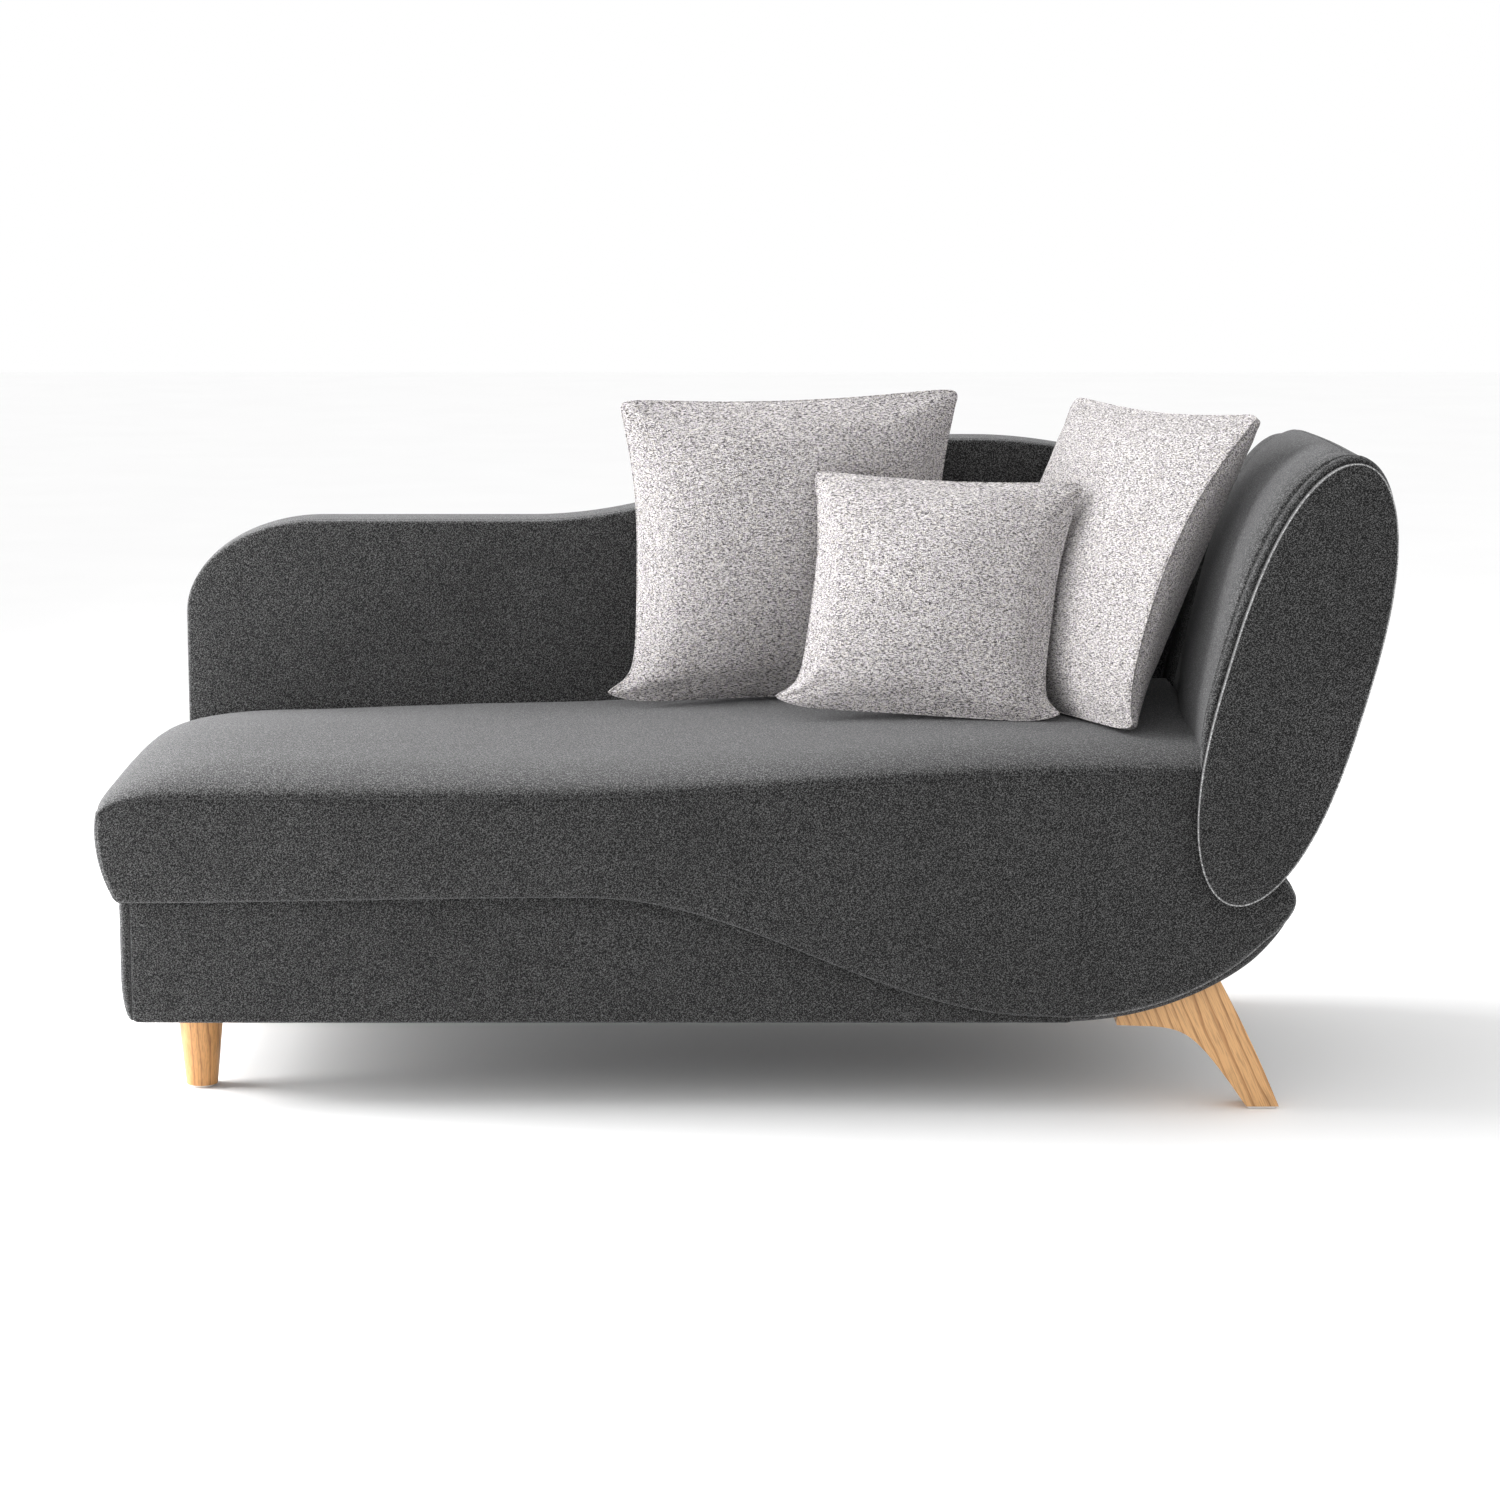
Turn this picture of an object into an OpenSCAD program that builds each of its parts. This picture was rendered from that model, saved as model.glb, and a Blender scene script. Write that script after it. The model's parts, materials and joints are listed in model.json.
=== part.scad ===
// Upholstered recamier: a box base that turns into a curved boat end, a fixed seat, a long
// shaped back, a rolled headboard with oval cheeks, four wooden legs and three loose cushions.
// Millimetres. X runs along the length, +X at the headboard. -Y is the front. Z is up.

/* [Overall] */
// Length from the seat's free end to the headboard's outer face
length = 1656; // [1500:1:1900]
// Depth from the front of the oval cheek to the rear face
depth = 730; // [690:10:800]

/* [Base] */
// Height of the base's underside above the floor
base_bottom = 118; // [100:1:150]
// Height of the side boards' top edge, where the seat begins
seat_edge = 275; // [255:1:300]
// How far the base's end stands back from the seat's end
base_inset = 35; // [15:1:60]
// Thickness of the plywood side boards
side_board_t = 18; // [12:1:24]
// Thickness of the padding on the base panels
base_pad_t = 15; // [10:1:20]
// How far the base's end bulges out
base_bulge = 6; // [0:1:10]
// How far the base's end is drawn in at its lower edge
base_in = 6; // [2:1:10]
// Height over which the base's end curves in
base_curve = 62; // [30:1:90]
// Width of the rails between the side boards
cross_rail_t = 22; // [16:1:30]
// Thickness of the dust cover under the base
dust_t = 1.5; // [1:0.1:3]

/* [Boat end] */
// Distance from the headboard's outer face to where the underside starts to rise
boat_run = 423; // [400:1:460]
// Half length of the ellipse that the underside follows
boat_a = 328; // [315:1:345]
// Half height of the ellipse that the underside follows
boat_h = 249; // [230:1:270]
// Angle of the ellipse at which the boat end stops
boat_angle = 66; // [60:1:70]
// Thickness of the bent plywood skin
skin_t = 6; // [4:0.5:9]
// Thickness of the padded cover on the bent skin
skin_cover_t = 5; // [4:0.5:8]

/* [Seat] */
// Height of the seat's top edge at its free end
seat_top_low = 436; // [425:1:450]
// Height of the seat's top edge at the headboard
seat_top_high = 468; // [455:1:475]
// Distance from the headboard's outer face to where the seat starts to rise
seat_rise_from = 1131; // [1000:1:1200]
// Distance from the headboard's outer face to where the seat stops rising
seat_rise_to = 381; // [340:1:500]
// How much the middle of the seat stands above its edges
seat_crown = 12; // [4:1:20]
// How much the middle of the seat stands above its edges at the free end
end_crown = 20; // [12:1:26]
// Thickness of the seat's cover and wadding
seat_cover_t = 8; // [5:1:12]
// Width of the rounding along the front edge
front_round = 45; // [30:1:60]
// Height of the rounding along the front edge
front_drop = 24; // [16:1:30]
// Width of the rounding at the free end
end_round = 200; // [150:5:240]
// Height of the rounding at the free end
end_drop = 44; // [34:1:52]
// Height of the seat rails
rail_h = 42; // [30:1:50]
// Width of the seat rails
rail_w = 40; // [30:1:50]
// Thickness of one layer of webbing
web_t = 2; // [1:0.5:3]
// Width of a strap of webbing
web_w = 70; // [50:1:90]
// Straps that run along the seat
web_rows = 4; // [2:1:5]
// Straps that run across the seat
web_columns = 10; // [6:1:12]
// Thickness of the padding on the front panel
panel_pad_t = 10; // [6:1:14]
// Thickness of the padding on the seat's end at its fullest
end_pad_t = 36; // [30:1:42]
// How far the end's padding is tucked in at its lower edge
end_tuck = 24; // [10:1:32]
// How far the front panel's corner is drawn in at the free end
corner_in = 5; // [3:1:12]
// Thickness of the board behind the front panel
wave_board_t = 8; // [5:1:12]
// Distance from the headboard's outer face to where the front panel starts to dip
wave_start = 1031; // [950:1:1100]
// Distance from the headboard's outer face to the lowest point of the front panel
wave_low = 441; // [430:1:470]
// Rim that the boat end shows below the front panel
wave_rim = 9; // [6:1:14]
// How much higher the front panel's lower edge is where it starts to dip
edge_rise = 7; // [0:1:12]

/* [Back] */
// Thickness of the back from its front face to the rear
back_depth = 105; // [90:1:130]
// How far the back's end stands in from the seat's end
back_inset = 38; // [30:1:60]
// Height of the low part of the back
back_low = 704; // [680:1:730]
// Height of the high part of the back
back_high = 819; // [790:1:830]
// Distance from the headboard's outer face to where the back starts to rise
rise_start = 1131; // [1050:1:1200]
// Distance from the headboard's outer face to where the back is highest
rise_end = 541; // [500:1:600]
// Drop of the back from its highest point towards the headboard
back_fall = 60; // [30:1:80]
// Width of the rounded corner at the back's end
back_corner_w = 185; // [120:5:240]
// Height of the rounded corner at the back's end
back_corner_h = 130; // [90:5:180]
// Thickness of the back's cover
back_cover_t = 8; // [5:1:12]
// Thickness of the back's foam
back_foam_t = 22; // [15:1:30]
// Thickness of the padded band round the back's edge
border_t = 12; // [8:1:16]
// Thickness of the padding on the rear face
rear_pad_t = 10; // [6:1:14]
// Side of the square posts in the back
post_w = 38; // [30:1:42]
// Height of the back's lower edge, behind the seat
back_foot = 330; // [322:1:400]

/* [Headboard] */
// Distance of the oval's middle from the headboard's outer face
oval_inset = 130.4; // [120:0.1:145]
// Height of the oval's middle
oval_z = 557; // [545:1:570]
// Half length of the oval
oval_a = 290; // [275:1:300]
// Half width of the oval
oval_b = 89; // [80:1:96]
// Lean of the oval away from the seat
oval_tilt = 15.7; // [12:0.1:20]
// Thickness of the padding on the oval cheeks
cheek_pad_t = 12; // [8:1:16]
// Thickness of the boards behind the cheeks
cheek_board_t = 10; // [6:1:14]
// Thickness of the headboard's formers
former_t = 15; // [12:1:18]
// Thickness of the headboard's padding
head_pad_t = 25; // [18:1:30]
// How much the outer roll stands out past the oval
outer_proud = 8; // [6:1:11]
// How much the inner pad swells in the middle of its depth
inner_crown = 18; // [8:1:22]
// How much smaller the rolled end behind the back's front face is than the oval
lobe_in = 10; // [6:1:14]
// Side of the square rails between the formers
head_rail_w = 30; // [22:1:34]

/* [Legs] */
// Distance of the cone legs from the seat's end
cone_x = 111; // [100:1:140]
// Distance of the cone legs from the front of the cheek and from the rear face
cone_y = 175; // [130:1:200]
// Diameter of a cone leg at its top
cone_top_d = 64; // [56:1:70]
// Diameter of a cone leg at its foot
cone_foot_d = 41; // [34:1:48]
// Thickness of the curved legs
bracket_t = 45; // [38:1:50]
// Distance of the curved legs from the front of the cheek and from the rear face
bracket_y = 47; // [42:1:60]
// Height of the glides under the feet
glide_h = 3; // [2:0.5:5]
// Diameter of the leg bolts
bolt_d = 8; // [6:1:10]
// Radial clearance round a bolt
bolt_gap = 0.1; // [0.05:0.05:0.5]

/* [Cushions] */
// Width of the large cushion
large_w = 470; // [420:5:500]
// Height of the large cushion
large_h = 420; // [400:5:450]
// Thickness of the large cushion
large_t = 150; // [120:5:160]
// Width of the small cushion
small_w = 372; // [350:2:400]
// Height of the small cushion
small_h = 336; // [300:2:350]
// Thickness of the small cushion
small_t = 102; // [90:5:125]
// Width of the turned cushion
turned_w = 455; // [420:5:480]
// Height of the turned cushion
turned_h = 445; // [420:5:470]
// Thickness of the turned cushion
turned_t = 122; // [100:5:140]
// How far a cushion's side is drawn in at its middle
drawn_in = 15; // [5:1:25]
// Thickness of a cushion's sewn edge
seam_t = 5; // [4:0.5:8]
// Thickness of a cushion's cover
cover_t = 3; // [2:0.5:5]

/* [Hidden] */

// Stations along the length and the depth
left = -length / 2;
right = length / 2;
front = -depth / 2;
rear = depth / 2;
wave_front = front + cheek_pad_t + cheek_board_t;
board_front = wave_front + panel_pad_t;
pad_front = board_front + wave_board_t;
side_front = pad_front + base_pad_t;
side_rear = rear - rear_pad_t;
back_face = rear - back_depth;
post_front = back_face + back_cover_t + back_foam_t + 2 * web_t + 1;
base_left = left + base_inset;
base_seam = base_left + base_in + 0.5;
base_h = seat_edge - base_bottom;
board_left = base_left + base_pad_t;
boat_x = right - boat_run;
wave_x0 = right - wave_start;
wave_x1 = right - wave_low;
deck_z = seat_edge + rail_h;
under_z = base_bottom + dust_t;
skin_in = skin_t + skin_cover_t;
// Clearance between pieces that lie against each other
seat_gap = 0.3;
// Middle of the oval cheek
oval_x = right - oval_inset;
// Height behind the cheeks up to which the front panel and the rear panel run
tuck_z = 440;
// Upright tab of the side boards inside the headboard
tab_x0 = right - 226;
seat_right = tab_x0 - 20;
tab_x1 = right - 191;
tab_z = 425;
// Heights of the two bolts through each tab
tab_bolt_z = [350, 398];
tab_bolt_x = (tab_x0 + tab_x1) / 2;
// Places of the back's posts along the length
post_x = [left + 92, right - 1131, right - 711, right - 366];
// Clearance of the back round the headboard's rolled end
lobe_gap = 2;
// Places of the cross rails along the length
rail_x = [left + 405, right - 891, right - 531];
// Exponent that blunts the oval's ends
oval_ease = 0.77;
// Cushion grid
cushion_n = 12;

grey = [0.27, 0.27, 0.28];
dark_grey = [0.2, 0.2, 0.21];
pale = [0.68, 0.67, 0.67];
oak = [0.86, 0.69, 0.48];
pine = [0.85, 0.76, 0.58];
plywood = [0.78, 0.66, 0.48];
foam_yellow = [0.93, 0.89, 0.7];
steel = [0.6, 0.61, 0.63];
black = [0.1, 0.1, 0.11];
white = [0.92, 0.92, 0.92];

// Eased step from 0 at a to 1 at b
function ease(x, a, b) = x <= a ? 0 : x >= b ? 1 : (1 - cos(180 * (x - a) / (b - a))) / 2;

// Height of the seat's top edge along the length, before the crown
function seat_line(x) = seat_top_low + (seat_top_high - seat_top_low)
    * ease(x, right - seat_rise_from, right - seat_rise_to);

// Height of the front panel's lower edge
function wave_z(x) = let(top = seat_edge + edge_rise * ease(x, left, wave_x0))
    top - (top - base_bottom - wave_rim) * ease(x, wave_x0, wave_x1);

// Points of the underside ellipse, drawn in by d, from its lowest point to the boat's tip
function boat_arc(d, n = 14) = [for (i = [0:n]) let(t = boat_angle * i / n)
    [boat_x + (boat_a - d) * sin(t), base_bottom + boat_h - (boat_h - d) * cos(t)]];

// Height of the underside at x, for a curve drawn in by d
function boat_z(x, d) = let(s = max(0, (x - boat_x) / (boat_a - d)))
    base_bottom + boat_h - (boat_h - d) * sqrt(1 - s * s);

// One point of the oval, grown by d
function oval_point(t, d) = let(
    l = (oval_a + d) * sign(cos(t)) * pow(abs(cos(t)), oval_ease),
    w = (oval_b + d) * sin(t))
    [oval_x + l * sin(oval_tilt) + w * cos(oval_tilt),
     oval_z + l * cos(oval_tilt) - w * sin(oval_tilt)];

function oval(d, n = 48) = [for (i = [0:n - 1]) oval_point(360 * i / n, d)];

// Height of the back's outline
function back_line(x) = back_low + (back_high - back_low)
    * ease(x, right - rise_start, right - rise_end)
    - back_fall * ease(x, right - rise_end + 40, right - 71);

// Height of the back's outline with its rounded corner, drawn in by d
function back_top(x, d) = let(s = (left + back_inset + back_corner_w - x) / (back_corner_w - d))
    back_line(x) - d - (s > 0 ? (back_corner_h - d) * (1 - sqrt(max(0, 1 - s * s))) : 0);

// Face of the seat's padded end at height z
end_mid = 365;
function end_x(z) = left + end_tuck * pow((z - end_mid) / (end_mid - seat_edge), 2);
end_z = seat_top_low - end_drop;

// Outline of the back's edge from the lower end corner to the headboard, drawn in by d
function back_edge(d, low) = let(x0 = left + back_inset + d, w = back_corner_w - d,
    h = back_corner_h - d)
    concat([[x0, low]],
        [for (i = [0:8]) let(t = 90 * i / 8)
            [x0 + w * (1 - cos(t)), back_low - d - h * (1 - sin(t))]],
        [for (i = [1:24]) let(x = x0 + w + (right - 86 - x0 - w) * i / 24)
            [x, back_line(x) - d]]);

// Flat plate between two planes across the depth
module plate(y0, y1) {
    translate([0, y1, 0])
        rotate([90, 0, 0])
            linear_extrude(y1 - y0)
                children();
}

// Box from its lowest to its highest corner
module box(a, b) {
    translate(a) cube(b - a);
}

// Closed solid between two grids of points: upper and lower have the same counts
module between(upper, lower) {
    n = len(upper);
    m = len(upper[0]);
    points = concat([for (r = upper) for (p = r) p], [for (r = lower) for (p = r) p]);
    h = n * m;
    faces = concat(
        [for (i = [0:n - 2]) for (j = [0:m - 2]) for (k = [0, 1]) let(a = i * m + j)
            k == 0 ? [a, a + 1, a + m] : [a + 1, a + m + 1, a + m]],
        [for (i = [0:n - 2]) for (j = [0:m - 2]) for (k = [0, 1]) let(a = h + i * m + j)
            k == 0 ? [a, a + m, a + 1] : [a + 1, a + m, a + m + 1]],
        [for (i = [0:n - 2]) for (k = [0, 1]) let(a = i * m)
            k == 0 ? [a, a + m, h + a] : [a + m, h + a + m, h + a]],
        [for (i = [0:n - 2]) for (k = [0, 1]) let(a = i * m + m - 1)
            k == 0 ? [a, h + a, a + m] : [a + m, h + a, h + a + m]],
        [for (j = [0:m - 2]) for (k = [0, 1])
            k == 0 ? [j, h + j, j + 1] : [j + 1, h + j, h + j + 1]],
        [for (j = [0:m - 2]) for (k = [0, 1]) let(a = (n - 1) * m + j)
            k == 0 ? [a, a + 1, h + a] : [a + 1, h + a + 1, h + a]]);
    polyhedron(points, faces);
}

// Side board: flat underside, boat curve at the right, upright tab inside the headboard
module side_profile() {
    arc = boat_arc(skin_in);
    tip = arc[len(arc) - 1];
    polygon(concat([[board_left, under_z], [boat_x, under_z]], arc,
        [[tip[0], tip[1] + 12], [tab_x1, tip[1] + 12], [tab_x1, tab_z], [tab_x0, tab_z],
         [tab_x0, seat_edge], [board_left, seat_edge]]));
}

module side_board(y0, c) {
    color(c) difference() {
        plate(y0, y0 + side_board_t) side_profile();
        for (z = tab_bolt_z)
            translate([tab_bolt_x, y0 - 1, z]) rotate([-90, 0, 0])
                cylinder(d = bolt_d + 2 * bolt_gap, h = side_board_t + 2, $fn = 32);
    }
}

module side_board_front() side_board(side_front, plywood);

module side_board_rear() {
    color(plywood) difference() {
        side_board(side_rear - side_board_t, plywood);
        for (x = post_x)
            translate([x, side_rear + 1, back_bolt_z]) rotate([90, 0, 0])
                cylinder(d = bolt_d + 2 * bolt_gap, h = side_board_t + 2, $fn = 32);
    }
}

module end_board() {
    color(plywood) box([board_left, side_front + side_board_t, under_z],
        [board_left + side_board_t, side_rear - side_board_t, seat_edge]);
}

rail_foot = 30;

// Rails across the base, between the side boards
module cross_rails() {
    color(pine) for (x = rail_x)
        box([x, side_front + side_board_t, under_z + rail_foot],
            [x + cross_rail_t, side_rear - side_board_t, seat_edge]);
}

leg_x = left + cone_x;
leg_ys = [front + cone_y, rear - cone_y];
plate_t = 3;
block_w = 84;
block_h = 30;
hub_z = under_z + plate_t;

// Blocks that carry the cone legs' plates, between the end board and the side boards
module leg_blocks() {
    color(pine) for (y = leg_ys) difference() {
        box([board_left + side_board_t, y - block_w / 2, hub_z],
            [leg_x + block_w / 2, y + block_w / 2, hub_z + block_h]);
        translate([leg_x, y, hub_z - 1])
            cylinder(d = bolt_d + 2, h = block_h + 2, $fn = 32);
    }
}

module leg_plates() {
    color(steel) for (y = leg_ys) difference() {
        box([leg_x - 30, y - 30, under_z], [leg_x + 30, y + 30, hub_z]);
        translate([leg_x, y, under_z - 1])
            cylinder(d = bolt_d + 2 * bolt_gap, h = plate_t + 2, $fn = 32);
    }
}

// Space between the underside ellipse drawn in by d0 and by d1
module boat_layer(d0, d1) {
    outer = boat_arc(d0);
    inner = boat_arc(d1);
    n = len(inner);
    polygon(concat(outer, [for (i = [0:n - 1]) inner[n - 1 - i]]));
}

// Everything above the underside ellipse drawn in by d
module boat_inside(d) {
    arc = boat_arc(d);
    polygon(concat([[boat_x - 10, base_bottom + d]], arc, [[right, tuck_z], [boat_x - 10, tuck_z]]));
}

module cleat_holes() {
    for (y = cleat_bolt_y) for (x = cleat_bolt_x)
        translate([x, y, base_bottom - 20])
            cylinder(d = bolt_d + 2 * bolt_gap, h = 140, $fn = 32);
}

module boat_skin() {
    color(plywood) difference() {
        plate(pad_front + skin_cover_t, side_rear) boat_layer(skin_cover_t, skin_in);
        cleat_holes();
    }
}

module boat_cover() {
    color(dark_grey) difference() {
        plate(pad_front, side_rear) boat_layer(0, skin_cover_t);
        cleat_holes();
    }
}

// Padded panel on the base's front; the seat's front panel hangs in front of its right end
module base_front_panel() {
    lap_x = left + end_pad_t + 1;
    lap_z = seat_edge + edge_rise + 4;
    color(grey) plate(pad_front, side_front)
        polygon([[base_seam, base_bottom], [boat_x, base_bottom], [boat_x, lap_z],
            [lap_x, lap_z], [lap_x, seat_edge], [base_seam, seat_edge]]);
}

// Padded panel on the base's end, fuller towards its top
module base_end_panel() {
    steps = 12;
    face = [for (k = [0:steps]) let(z = base_bottom + base_h * k / steps,
            t = max(0, 1 - (z - base_bottom) / base_curve))
        [base_left - base_bulge + (base_bulge + base_in) * (1 - sqrt(1 - t * t)), z]];
    color(grey) union() {
        plate(pad_front, side_rear)
            polygon(concat(face, [[base_seam, seat_edge], [base_seam, base_bottom]]));
        box([base_seam - 1, side_front, base_bottom], [board_left, side_rear, seat_edge]);
    }
}

module dust_cover() {
    color(black) difference() {
        box([board_left, side_front, base_bottom], [boat_x, side_rear, under_z]);
        for (y = leg_ys) translate([leg_x, y, base_bottom - 1])
            cylinder(d = bolt_d + 2, h = dust_t + 2, $fn = 32);
    }
}

module seat_front_rail() {
    color(pine) box([left + end_pad_t + rail_w, side_front, seat_edge],
        [tab_x0 - 5, side_front + rail_w, deck_z]);
}

module seat_rear_rail() {
    color(pine) box([left + end_pad_t + rail_w, back_face - rail_w, seat_edge],
        [tab_x0 - 5, back_face, deck_z]);
}

// Rail across the free end, which stands out past the base
module seat_end_rail() {
    color(pine) box([left + end_pad_t, side_front, seat_edge],
        [left + end_pad_t + rail_w, back_face, deck_z]);
}

module webbing_lengthwise() {
    span = back_face - side_front - 2 * rail_w;
    pitch = span / web_rows;
    color(black) for (i = [0:web_rows - 1])
        box([left + end_pad_t + 5, side_front + rail_w + pitch * (i + 0.5) - web_w / 2, deck_z],
            [tab_x0 - 10, side_front + rail_w + pitch * (i + 0.5) + web_w / 2, deck_z + web_t]);
}

module webbing_crosswise() {
    span = tab_x0 - left - 120;
    pitch = span / web_columns;
    color(black) for (i = [0:web_columns - 1])
        box([left + 60 + pitch * (i + 0.5) - web_w / 2, side_front + 5, deck_z + web_t],
            [left + 60 + pitch * (i + 0.5) + web_w / 2, back_face - 5, deck_z + 2 * web_t]);
}

// Grid over the seat: rounding at the free end and along the front, then the crowned top.
// side is the distance in from the outer face, down the distance below the top
end_steps = 5;
flat_x_steps = 14;
flat_y_steps = 8;

function seat_point(i, j, side, down) = let(
    rx = end_round - side,
    ry = front_round - side,
    a = i < end_steps ? cos(90 * i / end_steps) : 0,
    b = j < end_steps ? cos(90 * j / end_steps) : 0,
    fx = max(0, i - end_steps) / flat_x_steps,
    fy = max(0, j - end_steps) / flat_y_steps,
    x = left + side + rx * (1 - a) + (seat_right - left - side - rx) * fx
        + corner_in * pow(a * b, 6),
    y = wave_front + side + ry * (1 - b) + (back_face - wave_front - side - ry) * fy,
    end_fall = max(0, end_drop - down) * (1 - sqrt(1 - a * a)),
    front_fall = max(0, front_drop - down) * (1 - sqrt(1 - b * b)),
    drop = min(max(0, end_drop - down), norm([end_fall, front_fall])),
    along = sin(90 * min(1, fx * 2.2)),
    crown = (1 - pow(a, 12)) * (along * seat_crown * sin(180 * min(0.62, fy * 0.62))
        + (1 - along) * end_crown * pow(max(0, sin(180 * fy)), 0.6)))
    [x, y, seat_line(x) - down - drop + crown];

function seat_grid(side, down) = [for (i = [0:end_steps + flat_x_steps])
    [for (j = [0:end_steps + flat_y_steps]) seat_point(i, j, side, down)]];

module seat_top() {
    color(grey) between(seat_grid(0, 0), seat_grid(panel_pad_t + wave_board_t, seat_cover_t));
}

// Rows and columns of the seat's grid that the foam block keeps
foam_rows = concat([0], [for (i = [1:2:end_steps + flat_x_steps]) i]);
foam_columns = concat([0], [for (j = [1:2:end_steps + flat_y_steps]) j]);
foam_gap = 2.6;

module seat_foam() {
    side = panel_pad_t + wave_board_t + seat_gap;
    upper = [for (i = foam_rows) [for (j = foam_columns)
        seat_point(i, j, side, seat_cover_t + foam_gap)]];
    lower = [for (r = upper) [for (p = r) [p[0], p[1], deck_z + 2 * web_t]]];
    color(foam_yellow) difference() {
        between(upper, lower);
        box([left, wave_front, deck_z],
            [left + end_pad_t + seat_gap, back_face + 1, end_z + seat_gap]);
    }
}

// Lower edge of the seat's cover along the front, seen from the front
cover_in = panel_pad_t + wave_board_t;
rim = [for (i = [0:end_steps + flat_x_steps]) let(p = seat_point(i, 0, cover_in, seat_cover_t))
    [p[0], p[2]]];

// Front panel from the free end to the boat's tip, with its upper edge under the seat's cover
module wave_profile(d, x_min) {
    tip = boat_arc(wave_rim + d);
    n = len(tip);
    intersection() {
        polygon(concat(
            [for (z = [seat_edge + d:15:end_z - 1]) [end_x(z) + corner_in, z]],
            [[end_x(end_z) + corner_in, end_z - 3 * seat_gap - 2 * d]],
            [for (p = rim) [p[0], p[1] - 3 * seat_gap - 2 * d]],
            [[seat_right + 3, tuck_z - 6],
             [tab_x1 + 5, tuck_z - 6], [tip[n - 1][0] - 25, 335],
             [tip[n - 1][0] - 8, tip[n - 1][1] + 20]],
            [for (i = [0:n - 1]) tip[n - 1 - i]],
            [for (x = [boat_x:-40:wave_x0]) [x, wave_z(x) + d]],
            [for (x = [wave_x0:-200:left + 80]) [x, wave_z(x) + d]]));
        translate([x_min, 0]) square([length, 1000]);
    }
}

module wave_panel() {
    color(grey) plate(wave_front, board_front) wave_profile(0, left);
}

module wave_board() {
    color(plywood) plate(board_front, pad_front) wave_profile(2, left + end_pad_t);
}

// How far the end's rear corner rises towards the back
corner_rise = 13;

// Padded panel on the seat's free end; its rear part fills the corner beside the back
module seat_end_panel() {
    face = [for (z = [seat_edge:15:end_z]) [end_x(z), z]];
    inner = left + end_pad_t;
    span = back_inset - seat_gap;
    color(grey) union() {
        plate(board_front, back_face + 1)
            polygon(concat(face, [[end_x(end_z), end_z], [inner, end_z], [inner, seat_edge]]));
        plate(back_face + seat_gap, side_rear)
            polygon(concat(face, [for (k = [0:4])
                [left + span * k / 4, end_z + corner_rise * sin(90 * k / 4)]],
                [[left + span, seat_edge]]));
    }
}

post_y = [post_front, side_rear - side_board_t];
lower_rail_up = 150;
lower_rail_h = 40;
post_foot = 150;
back_bolt_z = 215;
top_rail_h = 70;
edge_in = border_t + 1;

// Everything below the underside of the back's top rail
module below_top_rail() {
    x0 = left + back_inset + edge_in;
    polygon(concat([[x0, 0]], [for (x = [x0:20:right]) [x, back_top(x, edge_in) - top_rail_h]],
        [[right, 0]]));
}

// Posts of the back, bolted to the rear side board, with the top rail on their ends
module back_posts() {
    color(pine) for (x = post_x) difference() {
        plate(post_y[0], post_y[1]) intersection() {
            translate([x - post_w / 2, post_foot]) square([post_w, back_high]);
            below_top_rail();
        }
        translate([x, side_rear, back_bolt_z]) rotate([90, 0, 0])
            cylinder(d = bolt_d + 2 * bolt_gap, h = 200, $fn = 32);
    }
}

// Rail between the posts just above the seat, in lengths that fit between them
module back_lower_rail() {
    color(pine) for (i = [0:len(post_x) - 2])
        box([post_x[i] + post_w / 2, post_y[0], deck_z + lower_rail_up],
            [post_x[i + 1] - post_w / 2, post_y[1], deck_z + lower_rail_up + lower_rail_h]);
}

// The back's outline drawn in by d, down to low, and ending in the headboard
module back_outline(d, low) {
    edge = back_edge(d, low);
    n = len(edge);
    difference() {
        polygon(concat(edge, [[edge[n - 1][0], low]]));
        translate([oval_x - 20, 0]) square([right - oval_x, oval_z]);
    }
}

// The same, cut out round the headboard
module back_area(d, low) {
    difference() {
        back_outline(d, low);
        polygon(oval(lobe_gap - lobe_in));
    }
}

// Shaped rail that follows the back's outline, carried by the posts
module back_top_rail() {
    color(plywood) plate(post_y[0], post_y[1])
        intersection() {
            difference() {
                back_area(edge_in, deck_z + 120);
                below_top_rail();
            }
            translate([left, 0]) square([tab_x1 - left, back_high]);
        }
}

web_rows_z = [420, 500, 575];

module back_webbing() {
    y = back_face + back_cover_t + back_foam_t + 0.5;
    first = post_x[0] - post_w / 2;
    last = post_x[len(post_x) - 1] + post_w / 2;
    color(black) {
        for (z = web_rows_z)
            box([first, y, z - web_w / 2], [last, y + web_t, z + web_w / 2]);
        for (i = [0:5]) let(x = first + 60 + (last - first - 120) * i / 5)
            box([x - web_w / 2, y + web_t, web_rows_z[0] - web_w / 2],
                [x + web_w / 2, y + 2 * web_t, web_rows_z[2] + web_w / 2]);
    }
}

module back_foam() {
    color(foam_yellow) plate(back_face + back_cover_t, back_face + back_cover_t + back_foam_t)
        back_area(edge_in, back_foot);
}

module back_front_panel() {
    color(grey) plate(back_face, back_face + back_cover_t) back_area(0, back_foot - 4);
}

// Padded band round the back's edge, between the front panel and the rear panel
module back_border() {
    color(grey) plate(back_face + back_cover_t, side_rear) difference() {
        back_area(0, back_foot - 4);
        difference() {
            back_area(border_t, back_foot - 50);
            translate([left, 0]) square([length, back_foot - 4]);
        }
    }
}

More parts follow.
